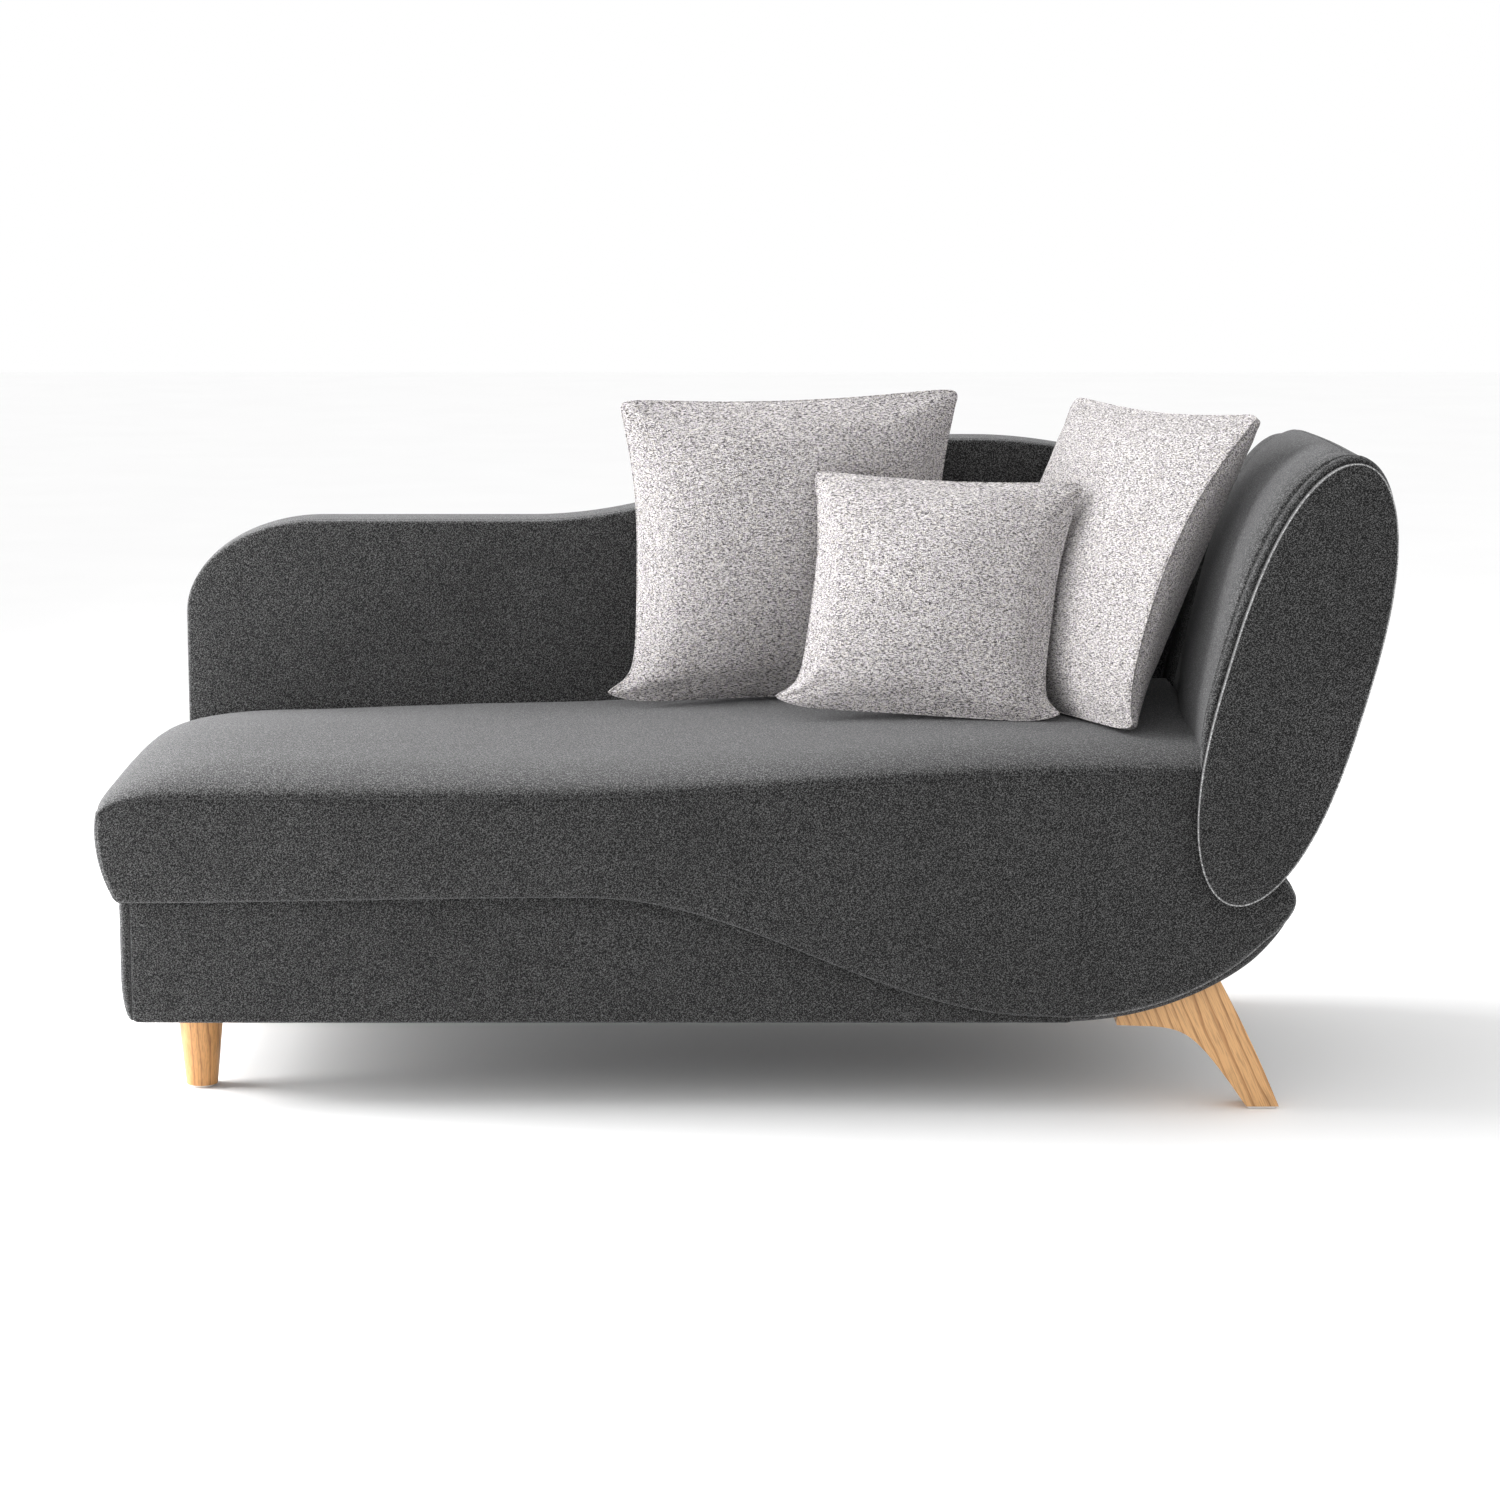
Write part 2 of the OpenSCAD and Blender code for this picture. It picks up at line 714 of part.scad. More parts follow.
module rear_outline() {
    arc = boat_arc(0);
    tip = arc[len(arc) - 1];
    polygon(concat([[base_left, base_bottom], [boat_x, base_bottom]], arc,
        [[tip[0] - 10, tip[1] + 25], [tab_x1 + 25, tuck_z], [base_left, tuck_z]]));
    polygon(concat([for (z = [seat_edge:15:end_z]) [end_x(z), z]],
        [[left + 8, end_z + 20], [left + back_inset, end_z + 36], [left + back_inset, seat_edge]]));
    back_outline(0, seat_edge);
    polygon(oval(-lobe_in - 8));
}

// Padded panel over the whole rear, from the base to the back's edge
module rear_panel() {
    color(grey) plate(side_rear, rear) rear_outline();
}

core_in = head_pad_t;

// Plywood formers of the headboard, bolted to the side boards' tabs
module former_bores(y0, t) {
    for (z = tab_bolt_z)
        translate([tab_bolt_x, y0 - 1, z]) rotate([-90, 0, 0])
            cylinder(d = bolt_d + 2 * bolt_gap, h = t + 2, $fn = 32);
}

module head_former_front() {
    color(plywood) difference() {
        plate(pad_front, pad_front + former_t) polygon(oval(-core_in));
        former_bores(pad_front, former_t);
    }
}

rear_former = side_rear - side_board_t - former_t;

module head_former_rear() {
    color(plywood) difference() {
        plate(rear_former, rear_former + former_t) polygon(oval(-core_in));
        former_bores(rear_former, former_t);
    }
}

// Packers that fill the step between the formers and the cheek boards, above the panels
module packer_shape() {
    difference() {
        polygon(oval(-core_in));
        translate([0, 0]) square([2000, tuck_z + 4]);
    }
}

module head_packer_front() {
    color(plywood) plate(wave_front, pad_front) packer_shape();
}

module head_packer_rear() {
    color(plywood) plate(rear_former + former_t, side_rear) packer_shape();
}

// Rails along the depth, just inside the headboard's padding
head_rail_angles = [8, 62, 98, 262, 298];

module head_rails() {
    color(pine) plate(pad_front + former_t, rear_former) intersection() {
        polygon(oval(-core_in));
        for (t = head_rail_angles) let(p = oval_point(t, -core_in - head_rail_w / 2))
            translate(p) rotate(-oval_tilt) square(head_rail_w, center = true);
    }
}

// Places across the depth where the headboard's padding is shaped: the crowned part in
// front of the back's face, a crease there, and the rolled end behind it
pad_ys = concat([for (i = [0:7]) wave_front + (back_face - 6 - wave_front) * i / 7],
    [back_face + 3, back_face + 28, side_rear - 22, side_rear]);
pad_steps = 14;
crease = 6;
// Clearance between the padding and the boards it is wrapped round
pad_gap = 0.8;

// Offset of the padding from the oval: d is its own in front of the back's face
function pad_offset(y, d, crown) = y < back_face
    ? d + crown * pow(max(0, sin(180 * (y - wave_front) / (back_face - 6 - wave_front))), 0.6)
    : -lobe_in - (y < back_face + 4 || y > side_rear - 1 ? crease : 0);

module head_pad(from, to, offsets, crowns) {
    outer = [for (y = pad_ys) [for (k = [0:pad_steps]) let(
        p = oval_point(from + (to - from) * k / pad_steps, pad_offset(y, offsets[k], crowns[k])))
        [p[0], y, p[1]]]];
    inner = [for (y = pad_ys) [for (k = [0:pad_steps]) let(
        p = oval_point(from + (to - from) * k / pad_steps, pad_gap - core_in))
        [p[0], y, p[1]]]];
    color(grey) between(inner, outer);
}

ridge_proud = 4;
shares = [for (k = [0:pad_steps]) k / pad_steps];

// Inner pad, from above the seat up to the ridge, crowned across the depth
module head_inner_pad() {
    head_pad(248, 357, [for (s = shares) (6 + ridge_proud) * pow(s, 3) - 6],
        [for (s = shares) inner_crown * sin(180 * s)]);
}

// Outer pad, from the ridge down to the boat's tip
module head_outer_pad() {
    head_pad(-2.5, 140, [for (s = shares) s < 0.35
        ? ridge_proud + (outer_proud - ridge_proud) * sin(90 * s / 0.35)
        : outer_proud * cos(90 * (s - 0.35) / 0.65)], [for (s = shares) 2]);
}

module cheek_board_front() {
    color(plywood) plate(front + cheek_pad_t, wave_front) polygon(oval(-3));
}

module cheek_panel_front() {
    color(grey) plate(front, front + cheek_pad_t) polygon(oval(0));
}

cone_bore = 45;

module cone_leg(y) {
    color(oak) difference() {
        translate([leg_x, y, glide_h])
            cylinder(d1 = cone_foot_d, d2 = cone_top_d, h = base_bottom - glide_h, $fn = 64);
        translate([leg_x, y, base_bottom - cone_bore])
            cylinder(d = bolt_d + 2 * bolt_gap, h = cone_bore + 1, $fn = 32);
    }
}

module cone_leg_front() cone_leg(leg_ys[0]);

module cone_leg_rear() cone_leg(leg_ys[1]);

module leg_bolts() {
    color(steel) for (y = leg_ys)
        translate([leg_x, y, base_bottom - cone_bore])
            cylinder(d = bolt_d, h = cone_bore + dust_t + plate_t + block_h - 4, $fn = 32);
}

// Curved leg: its top follows the boat's underside, and it sweeps down and out to the foot
foot_x0 = right - 178;
foot_x1 = right - 136;
leg_start = boat_x + 76;
leg_tip_drop = 14;
leg_top_in = 217;
// How far the outer side bows out
leg_bow = 3;
// How full the bend of the inner side is
leg_bend = 2.3;
leg_under = boat_z(leg_start, 0) - leg_tip_drop - 1;

function leg_outer(n = 8) = let(top = [right - leg_top_in, boat_z(right - leg_top_in, 0)])
    [for (i = [0:n]) let(t = i / n)
        [top[0] + (foot_x1 - top[0]) * t + leg_bow * sin(180 * t), top[1] + (glide_h - top[1]) * t]];

// Inner side from the foot up: a straight run, a full bend and a level run to the tip
function leg_inner(n = 14) = let(foot = [foot_x0, glide_h], tip = [leg_start + 26, leg_under],
    bend = [leg_start + 95, leg_under])
    [for (i = [0:n]) let(t = i / n, a = (1 - t) * (1 - t), b = 2 * leg_bend * t * (1 - t), c = t * t)
        (a * foot + b * bend + c * tip) / (a + b + c)];

module curved_leg(y0) {
    color(oak) difference() {
        plate(y0, y0 + bracket_t) difference() {
            polygon(concat([[leg_start, tuck_z], [right - leg_top_in, tuck_z]], leg_outer(),
                leg_inner(), [[leg_start, boat_z(leg_start, 0) - leg_tip_drop]]));
            boat_inside(0);
        }
        cleat_holes();
    }
}

module curved_leg_front() curved_leg(front + bracket_y);

module curved_leg_rear() curved_leg(rear - bracket_y - bracket_t);

cleat_w = 40;
cleat_l = 135;
cleat_top = 215;
cleat_ys = [side_front + side_board_t, side_rear - side_board_t - cleat_w];
cleat_bolt_y = [for (y = cleat_ys) y + 10];
cleat_bolt_x = [leg_start + 75, leg_start + 115];

// Blocks inside the boat end that take the curved legs' bolts
module leg_cleats() {
    color(pine) difference() {
        for (y = cleat_ys) plate(y, y + cleat_w) intersection() {
            boat_inside(skin_in);
            translate([leg_start + 5, base_bottom]) square([cleat_l, cleat_top - base_bottom]);
        }
        cleat_holes();
    }
}

module cleat_bolts() {
    color(steel) for (y = cleat_bolt_y) for (x = cleat_bolt_x)
        translate([x, y, boat_z(x, 0) - 18])
            cylinder(d = bolt_d, h = 70, $fn = 32);
}

module bolt_y(x, y0, y1, z) {
    translate([x, y0, z]) rotate([-90, 0, 0]) cylinder(d = bolt_d, h = y1 - y0, $fn = 32);
}

// A bolt with a round nut on the inner end
module head_bolts() {
    nut_h = 6;
    front_in = side_front + side_board_t;
    color(steel) for (z = tab_bolt_z) {
        bolt_y(tab_bolt_x, pad_front, front_in, z);
        translate([tab_bolt_x, front_in, z]) rotate([-90, 0, 0])
            cylinder(d = bolt_d * 2, h = nut_h, $fn = 32);
        bolt_y(tab_bolt_x, rear_former, side_rear, z);
        translate([tab_bolt_x, rear_former - nut_h, z]) rotate([-90, 0, 0])
            cylinder(d = bolt_d * 2, h = nut_h, $fn = 32);
    }
}

module back_bolts() {
    nut_h = 6;
    color(steel) for (x = post_x) {
        bolt_y(x, post_y[0], side_rear, back_bolt_z);
        translate([x, post_y[0] - nut_h, back_bolt_z]) rotate([-90, 0, 0])
            cylinder(d = bolt_d * 2, h = nut_h, $fn = 32);
    }
}

module glides() {
    color(white) {
        for (y = leg_ys) translate([leg_x, y, 0])
            cylinder(d = cone_foot_d - 8, h = glide_h, $fn = 48);
        for (y = [front + bracket_y, rear - bracket_y - bracket_t])
            box([foot_x0 + 3, y + 3, 0], [foot_x1 - 3, y + bracket_t - 3, glide_h]);
    }
}

// One face of a cushion in its own frame: width along X, height along Z, crown along Y.
// shrink is the distance in from the cover's outer face
function cushion_face(w, h, t, side, shrink) = [for (i = [0:cushion_n]) [for (j = [0:cushion_n])
    let(
        u = -cos(180 * i / cushion_n),
        v = -cos(180 * j / cushion_n),
        px = 1 - 2 * drawn_in / w * (1 - v * v),
        pz = 1 - 2 * drawn_in / h * (1 - u * u),
        crown = pow((1 - u * u) * (1 - v * v), 0.55),
        half = seam_t / 2 + (t - seam_t) / 2 * crown)
    [(w / 2 - shrink * 2) * u * px, side * max(0.6, half - shrink * (0.35 + 0.65 * crown)),
     (h / 2 - shrink * 2) * v * pz]]];

module cushion_solid(w, h, t, shrink) {
    between(cushion_face(w, h, t, -1, shrink), cushion_face(w, h, t, 1, shrink));
}

module cushion_cover(w, h, t) {
    color(pale) difference() {
        cushion_solid(w, h, t, 0);
        cushion_solid(w, h, t, cover_t);
    }
}

module cushion_insert(w, h, t) {
    color(white) cushion_solid(w, h, t, cover_t + seat_gap);
}

// Lean and roll of the large cushion against the back, and its place
large_lean = 6;
large_roll = -2;
large_x = right - 771.5;
large_y = back_face - 78;
large_z = 678.1;

// Lean, turn and roll of the small cushion in front of the large one, and its place
small_lean = 24;
small_turn = 17;
small_roll = 1;
small_x = right - 577;
small_y = back_face - 269;
small_z = 632.25;

// Lean, turn and roll of the cushion that rests on the headboard, and its place
turned_lean = 25.5;
turned_turn = 63.5;
turned_roll = -0.5;
turned_x = right - 341.5;
turned_y = back_face - 247.5;
turned_z = 680.95;

module place_large() {
    translate([large_x, large_y, large_z]) rotate([-large_lean, 0, 0]) rotate([0, large_roll, 0]) children();
}

module place_small() {
    translate([small_x, small_y, small_z]) rotate([0, 0, -small_turn])
        rotate([-small_lean, 0, 0]) rotate([0, small_roll, 0]) children();
}

module place_turned() {
    translate([turned_x, turned_y, turned_z]) rotate([0, 0, -turned_turn])
        rotate([-turned_lean, 0, 0]) rotate([0, turned_roll, 0]) children();
}

module large_cushion() place_large() cushion_cover(large_w, large_h, large_t);
module large_insert() place_large() cushion_insert(large_w, large_h, large_t);
module small_cushion() place_small() cushion_cover(small_w, small_h, small_t);
module small_insert() place_small() cushion_insert(small_w, small_h, small_t);
module turned_cushion() place_turned() cushion_cover(turned_w, turned_h, turned_t);
module turned_insert() place_turned() cushion_insert(turned_w, turned_h, turned_t);

side_board_front();
side_board_rear();
end_board();
cross_rails();
leg_blocks();
boat_skin();
boat_cover();
base_front_panel();
base_end_panel();
dust_cover();
seat_front_rail();
seat_rear_rail();
seat_end_rail();
webbing_lengthwise();
webbing_crosswise();
seat_foam();
seat_top();
wave_board();
wave_panel();
seat_end_panel();
back_posts();
back_lower_rail();
back_top_rail();
back_webbing();
back_foam();
back_front_panel();
back_border();
rear_panel();
head_former_front();
head_former_rear();
head_packer_front();
head_packer_rear();
head_rails();
head_inner_pad();
head_outer_pad();
cheek_board_front();
cheek_panel_front();
cone_leg_front();
cone_leg_rear();
leg_plates();
leg_bolts();
curved_leg_front();
curved_leg_rear();
leg_cleats();
cleat_bolts();
head_bolts();
back_bolts();
glides();
large_cushion();
large_insert();
small_cushion();
small_insert();
turned_cushion();
turned_insert();
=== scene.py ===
import json
import math

import bmesh
import bpy
import numpy as np
from mathutils import Matrix, Vector, noise
from mathutils.geometry import delaunay_2d_cdt


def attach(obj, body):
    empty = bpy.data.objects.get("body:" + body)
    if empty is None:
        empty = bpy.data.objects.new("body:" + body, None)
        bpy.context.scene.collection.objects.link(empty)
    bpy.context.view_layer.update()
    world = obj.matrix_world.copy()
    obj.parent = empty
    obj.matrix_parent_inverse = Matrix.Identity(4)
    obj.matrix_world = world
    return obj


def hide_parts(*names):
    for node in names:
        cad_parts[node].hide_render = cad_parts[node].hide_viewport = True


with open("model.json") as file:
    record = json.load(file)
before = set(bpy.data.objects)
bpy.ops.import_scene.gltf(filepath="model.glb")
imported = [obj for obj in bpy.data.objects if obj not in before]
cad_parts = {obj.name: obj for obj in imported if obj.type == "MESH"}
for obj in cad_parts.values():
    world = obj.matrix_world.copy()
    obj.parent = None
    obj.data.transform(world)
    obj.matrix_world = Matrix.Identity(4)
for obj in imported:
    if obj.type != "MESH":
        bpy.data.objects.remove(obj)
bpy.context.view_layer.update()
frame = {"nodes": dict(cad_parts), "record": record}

scene = bpy.context.scene

# Lengths are in metres, in the CAD's frame: +x runs to the headboard, -y to the viewer, z is up
# from the floor. A name that ends in _SPAN is a pair of x, from and to.

# faces of the layers, front to rear
FRONT = -0.365              # oval cheek
WAVE_FRONT = -0.343         # front panel with its wave
PAD_FRONT = -0.325          # front panel of the base
SIDE_FRONT = -0.310         # front side board
BACK_FACE = 0.260           # front of the back
SIDE_REAR = 0.355           # rear side board
REAR = 0.365                # rear panel

# base and boat end
BASE_LEFT = -0.793          # face of the base's padded end
BASE_SEAM = -0.7865         # its seam with the base's front panel
BOARD_LEFT = -0.778         # board behind it
BASE_Z, SAG = 0.118, 0.0035     # underside of the frame, and how far its cover sags below it
BASE_LOW = BASE_Z - SAG
BOAT_X = 0.405              # where the boat end's ellipse starts
BOAT_LONG, BOAT_HIGH = 0.328, 0.249     # its half axes

# seat
LEFT = -0.828               # the padded free end where it is fullest
SEAT_RIGHT = 0.600
SEAT_EDGE, DECK_Z = 0.275, 0.317        # lower edge of the padding, deck under the foam
SEAT_LOW, SEAT_RISE, SEAT_SPAN = 0.436, 0.032, (-0.303, 0.447)
END_ROUND, FRONT_ROUND = 0.200, 0.125   # widths of the roundings at the free end and the front
END_DROP, FRONT_DROP = 0.044, 0.024     # how far each of them falls
SEAT_CROWN, END_CROWN = 0.012, 0.020    # crown along the seat and near the free end
END_PASSED = 2.2            # the latter ends 1/2.2 of the way along the seat
CROWN_PHASE = 0.62          # half waves of the former from front to back
CORNER_PULL = 0.0075        # how far the cover's front corner is drawn in
END_Z = 0.392               # upper edge of the padded free end
END_BOW, END_MIDDLE, END_HALF = 0.024, 0.365, 0.090     # its face bows back END_HALF from its middle
CORNER_IN = 0.005           # the front panel's left edge, in from that face
TUCK, TUCK_DROP = 0.0014, 0.0012        # a cover turns in and down by this at its seam
TUCK_Z = 0.440              # the front panel's top goes under the headboard here
CLEAR = 0.0003              # between a cover and the layer behind it
WAVE_RISE, WAVE_CLEAR, WAVE_SPAN = 0.007, 0.009, (-0.203, 0.387)

# back
BACK_INSET, CORNER_W, CORNER_H = 0.038, 0.185, 0.130    # its free end and the rounded corner there
BACK_LOW, BACK_RISE, RISE_SPAN = 0.704, 0.115, (-0.303, 0.287)
BACK_FALL, FALL_SPAN = 0.060, (0.327, 0.757)
BACK_FOOT, BACK_LAST = 0.326, 0.742     # lower edge behind the seat, right end in the headboard

# headboard: the cheek's oval, tilted in x and z
OVAL_X, OVAL_Z, OVAL_A, OVAL_B = 0.6976, 0.557, 0.290, 0.089
OVAL_TILT, OVAL_EASE = math.radians(15.7), 0.77
HEAD_CUT = 0.008            # the back's panel ends this far inside the oval

# the camera solved from the photograph
cam_data = bpy.data.cameras.new("camera")
cam = bpy.data.objects.new("camera", cam_data)
scene.collection.objects.link(cam)
cam.location = (0.0086, -5.145, 1.248)
cam.rotation_euler = (math.radians(90 - 9.16), 0, 0)
cam_data.sensor_width = 36
cam_data.lens = 92.18
cam_data.clip_end = 100
scene.camera = cam
scene.view_settings.view_transform = "Standard"

world = bpy.data.worlds.new("world")
scene.world = world
world.use_nodes = True
world.node_tree.nodes["Background"].inputs["Color"].default_value = (1, 1, 1, 1)
world.node_tree.nodes["Background"].inputs["Strength"].default_value = 1.0


def light(name, place, aim, size, watts):
    data = bpy.data.lights.new(name, "AREA")
    data.shape = "RECTANGLE"
    data.size, data.size_y = size
    data.energy = watts
    o = bpy.data.objects.new(name, data)
    scene.collection.objects.link(o)
    o.location = place
    o.rotation_euler = (Vector(aim) - Vector(place)).to_track_quat("-Z", "Y").to_euler()


light("top_light", (-1.8, 0.5, 2.0), (-0.5, 0.0, 0.4), (2.0, 1.6), 96)
light("side_light", (-2.0, -0.1, 0.55), (-0.7, 0, 0.28), (1.0, 0.8), 45)
light("front_light", (-1.0, -3.4, 2.3), (0, 0, 0.4), (2.6, 1.8), 8)


# Shape functions

def ease(x, a, b):
    """0 up to a, 1 from b on, half a cosine wave between them."""
    t = np.clip((np.asarray(x, float) - a) / (b - a), 0, 1)
    return (1 - np.cos(np.pi * t)) / 2


def rolled(t, width):
    """0 at a free edge, rising to 1 once t is past the given width, as a quarter circle."""
    return np.sqrt(np.clip(1 - np.clip(1 - t / width, 0, 1) ** 2, 0, 1))


def fall(t, width, depth):
    """How far a face falls back beside a rolled edge: depth at the edge, 0 past the width."""
    return depth * (1 - rolled(t, width))


def quarter(t):
    """rolled() for one number, with t as a share of the width."""
    return math.sqrt(max(0, 1 - (1 - min(1, t)) ** 2))


def cosine_steps(a, b, n):
    """n values from a to b, close together at both ends."""
    return a + (b - a) * (1 - np.cos(np.linspace(0, np.pi, n))) / 2


def power_steps(a, b, n, power):
    """n values from a to b, close together at a."""
    return a + (b - a) * np.linspace(0, 1, n) ** power


def seat_line(x):
    """Height of the seat along its length."""
    return SEAT_LOW + SEAT_RISE * ease(x, *SEAT_SPAN)


def wave_z(x):
    """Lower edge of the front panel, which swings down to the boat end."""
    top = SEAT_EDGE + WAVE_RISE * ease(x, LEFT, WAVE_SPAN[0])
    return top - (top - BASE_Z - WAVE_CLEAR) * ease(x, *WAVE_SPAN)


def boat_arc(t, d):
    """Points of the boat end at angles t in degrees, drawn in by d."""
    t = np.radians(t)
    return np.stack([BOAT_X + (BOAT_LONG - d) * np.sin(t),
                     BASE_Z + BOAT_HIGH - (BOAT_HIGH - d) * np.cos(t)], 1)


def oval_point(t, d):
    """x and z of the oval at angles t in degrees, grown by d."""
    t = np.radians(np.asarray(t, float))
    c = np.cos(t)
    l = (OVAL_A + d) * np.sign(c) * np.abs(c) ** OVAL_EASE
    w = (OVAL_B + d) * np.sin(t)
    return (OVAL_X + l * math.sin(OVAL_TILT) + w * math.cos(OVAL_TILT),
            OVAL_Z + l * math.cos(OVAL_TILT) - w * math.sin(OVAL_TILT))


def oval(d, n=220):
    """The whole oval, grown by d, at n even angles."""
    u = np.linspace(0, 2 * np.pi, n, endpoint=False)
    return np.stack(oval_point(np.degrees(u), d), 1)


def back_line(x):
    """Height of the back's top edge."""
    return BACK_LOW + BACK_RISE * ease(x, *RISE_SPAN) - BACK_FALL * ease(x, *FALL_SPAN)


def end_x(z):
    """Face of the seat's padded end."""
    return LEFT + END_BOW * ((z - END_MIDDLE) / END_HALF) ** 2


def back_edge(low, last):
    """The back's outline from the lower end corner to x = last, left to right."""
    x0 = LEFT + BACK_INSET
    t = np.linspace(0, np.pi / 2, 26)
    corner = np.stack([x0 + CORNER_W * (1 - np.cos(t)), BACK_LOW - CORNER_H * (1 - np.sin(t))], 1)
    x = np.linspace(x0 + CORNER_W, last, 90)[1:]
    side = np.stack([np.full(12, x0), np.linspace(low, BACK_LOW - CORNER_H, 12)], 1)[:-1]
    return np.concatenate([side, corner, np.stack([x, back_line(x)], 1)])


# Lines and outlines, as arrays of x and z

def resample(p, step, closed=True):
    """The same line with points about step apart."""
    q = np.concatenate([p, p[:1]]) if closed else p
    d = np.concatenate([[0], np.cumsum(np.linalg.norm(np.diff(q, axis=0), axis=1))])
    keep = np.concatenate([[True], np.diff(d) > 1e-9])
    d, q = d[keep], q[keep]
    n = max(8, int(round(d[-1] / step)))
    s = np.linspace(0, d[-1], n + 1)
    out = np.stack([np.interp(s, d, q[:, k]) for k in range(q.shape[1])], 1)
    return out[:-1] if closed else out


def soften(p, passes):
    """A closed line with its corners smoothed."""
    for _ in range(passes):
        p = (np.roll(p, 1, 0) + 2 * p + np.roll(p, -1, 0)) / 4
    return p


def soften_open(p, passes):
    """An open line with its corners smoothed and its two ends kept."""
    p = p.copy()
    for _ in range(passes):
        p[1:-1] = (p[:-2] + 2 * p[1:-1] + p[2:]) / 4
    return p


def unit(v):
    return v / np.maximum(np.linalg.norm(v, axis=1), 1e-9)[:, None]


def left_of(way):
    """Unit normals to the left of the directions way."""
    t = unit(way)
    return np.stack([-t[:, 1], t[:, 0]], 1)


def inset(p, d):
    """A closed outline drawn in by d, counter-clockwise outlines only."""
    return p + d * left_of(np.roll(p, -1, 0) - np.roll(p, 1, 0))


def ccw(p):
    """The outline turned counter-clockwise."""
    x, z = p[:, 0], p[:, 1]
    area = np.sum(x * np.roll(z, -1) - np.roll(x, -1) * z)
    return p if area > 0 else p[::-1].copy()


def edge_distance(q, outline):
    """Distance of each point of q from a closed outline, in blocks to save memory."""
    a, b = outline, np.roll(outline, -1, 0)
    best = np.full(len(q), 9.0)
    ab = b - a
    l2 = np.maximum((ab ** 2).sum(1), 1e-12)
    block = 400
    for k in range(0, len(q), block):
        w = q[k:k + block, None] - a[None]
        t = np.clip((w * ab).sum(2) / l2, 0, 1)
        best[k:k + block] = np.linalg.norm(w - t[..., None] * ab, axis=2).min(1)
    return best


def inside(q, outline):
    """Which points of q lie inside a closed outline, by ray casting."""
    found = np.zeros(len(q), bool)
    for (ax, az), (bx, bz) in zip(outline, np.roll(outline, -1, 0)):
        if az != bz:
            found ^= ((az > q[:, 1]) != (bz > q[:, 1])) \
                & (q[:, 0] < (bx - ax) * (q[:, 1] - az) / (bz - az) + ax)
    return found


def union_outline(polygons):
    """Outer outline of several overlapping polygons."""
    pts, faces = [], []
    for p in polygons:
        faces.append(list(range(len(pts), len(pts) + len(p))))
        pts += [Vector(map(float, v)) for v in p]
    v, _, f = delaunay_2d_cdt(pts, [], faces, 1, 1e-6)[:3]
    # an outer edge is run through in one direction only
    edges = dict.fromkeys((a, b) for face in f for a, b in zip(face, face[1:] + face[:1]))
    following = {a: b for a, b in edges if (b, a) not in edges}
    best, seen = [], set()
    for start in following:
        if start in seen:
            continue
        loop = [start]
        seen.add(start)
        while following[loop[-1]] in following and following[loop[-1]] not in seen:
            loop.append(following[loop[-1]])
            seen.add(loop[-1])
        if len(loop) > len(best):
            best = loop
    return np.array([v[k] for k in best])


def at_depth(p, y):
    """Points in x and z, placed at the depth y."""
    return np.stack([p[:, 0], np.full(len(p), y), p[:, 1]], 1)


def wobble(points, scale, amount, seed):
    """A smooth random height at each point, which has two or three coordinates."""
    return np.array([noise.noise(Vector((p[0] * scale + seed, p[1] * scale,
                                         seed * 1.7 + (p[2] * scale if len(p) > 2 else 0))))
                     for p in points]) * amount


# Meshes

def mesh_object(name, verts, faces):
    me = bpy.data.meshes.new(name)
    me.from_pydata([tuple(map(float, v)) for v in verts], [], [tuple(map(int, f)) for f in faces])
    me.validate()
    me.polygons.foreach_set("use_smooth", [True] * len(me.polygons))
    me.update()
    o = bpy.data.objects.new(name, me)
    scene.collection.objects.link(o)
    return o


def outward(o):
    """Turns the faces of a closed piece outward."""
    bm = bmesh.new()
    bm.from_mesh(o.data)
    bmesh.ops.remove_doubles(bm, verts=bm.verts, dist=2e-5)
    bmesh.ops.recalc_face_normals(bm, faces=bm.faces)
    bm.to_mesh(o.data)
    bm.free()
    o.data.polygons.foreach_set("use_smooth", [True] * len(o.data.polygons))
    return o


def grid_faces(n, m, start=0, flip=False):
    """Quads over a grid of n by m points, numbered from start."""
    f = []
    for i in range(n - 1):
        for j in range(m - 1):
            a = start + i * m + j
            q = (a, a + 1, a + m + 1, a + m)
            f.append(q[::-1] if flip else q)
    return f


def ring_faces(a, b):
    """Quads that join two closed rings of point numbers."""
    n = len(a)
    return [(a[i], a[(i + 1) % n], b[(i + 1) % n], b[i]) for i in range(n)]


def between(name, upper, lower):
    """Closed piece between two grids of points of the same size."""
    n, m = upper.shape[:2]
    h = n * m
    verts = np.concatenate([upper.reshape(-1, 3), lower.reshape(-1, 3)])
    faces = grid_faces(n, m) + grid_faces(n, m, h, True)
    for i in range(n - 1):
        a, b = i * m, (i + 1) * m
        faces += [(a, b, h + b, h + a), (a + m - 1, h + a + m - 1, h + b + m - 1, b + m - 1)]
    for j in range(m - 1):
        a, b = j, (n - 1) * m + j
        faces += [(a, h + a, h + a + 1, a + 1), (b, b + 1, h + b + 1, h + b)]
    return outward(mesh_object(name, verts, faces))


def strip(name, path, depths, outer, inner):
    """Padded strip along an open path in x and z.

    At each of the depths it stands outer to the left of the path; its hidden side keeps inner."""
    side = left_of(np.gradient(path, axis=0))
    faces = [np.stack([at_depth(path + side * d, y) for y, d in zip(depths, off)], 1)
             for off in (outer, np.full(len(depths), inner))]
    return between(name, *faces)


OUTLINE_STEP, ROLL_STEPS = 0.004, 6     # spacing along a panel's outline, rings of its rolled edge


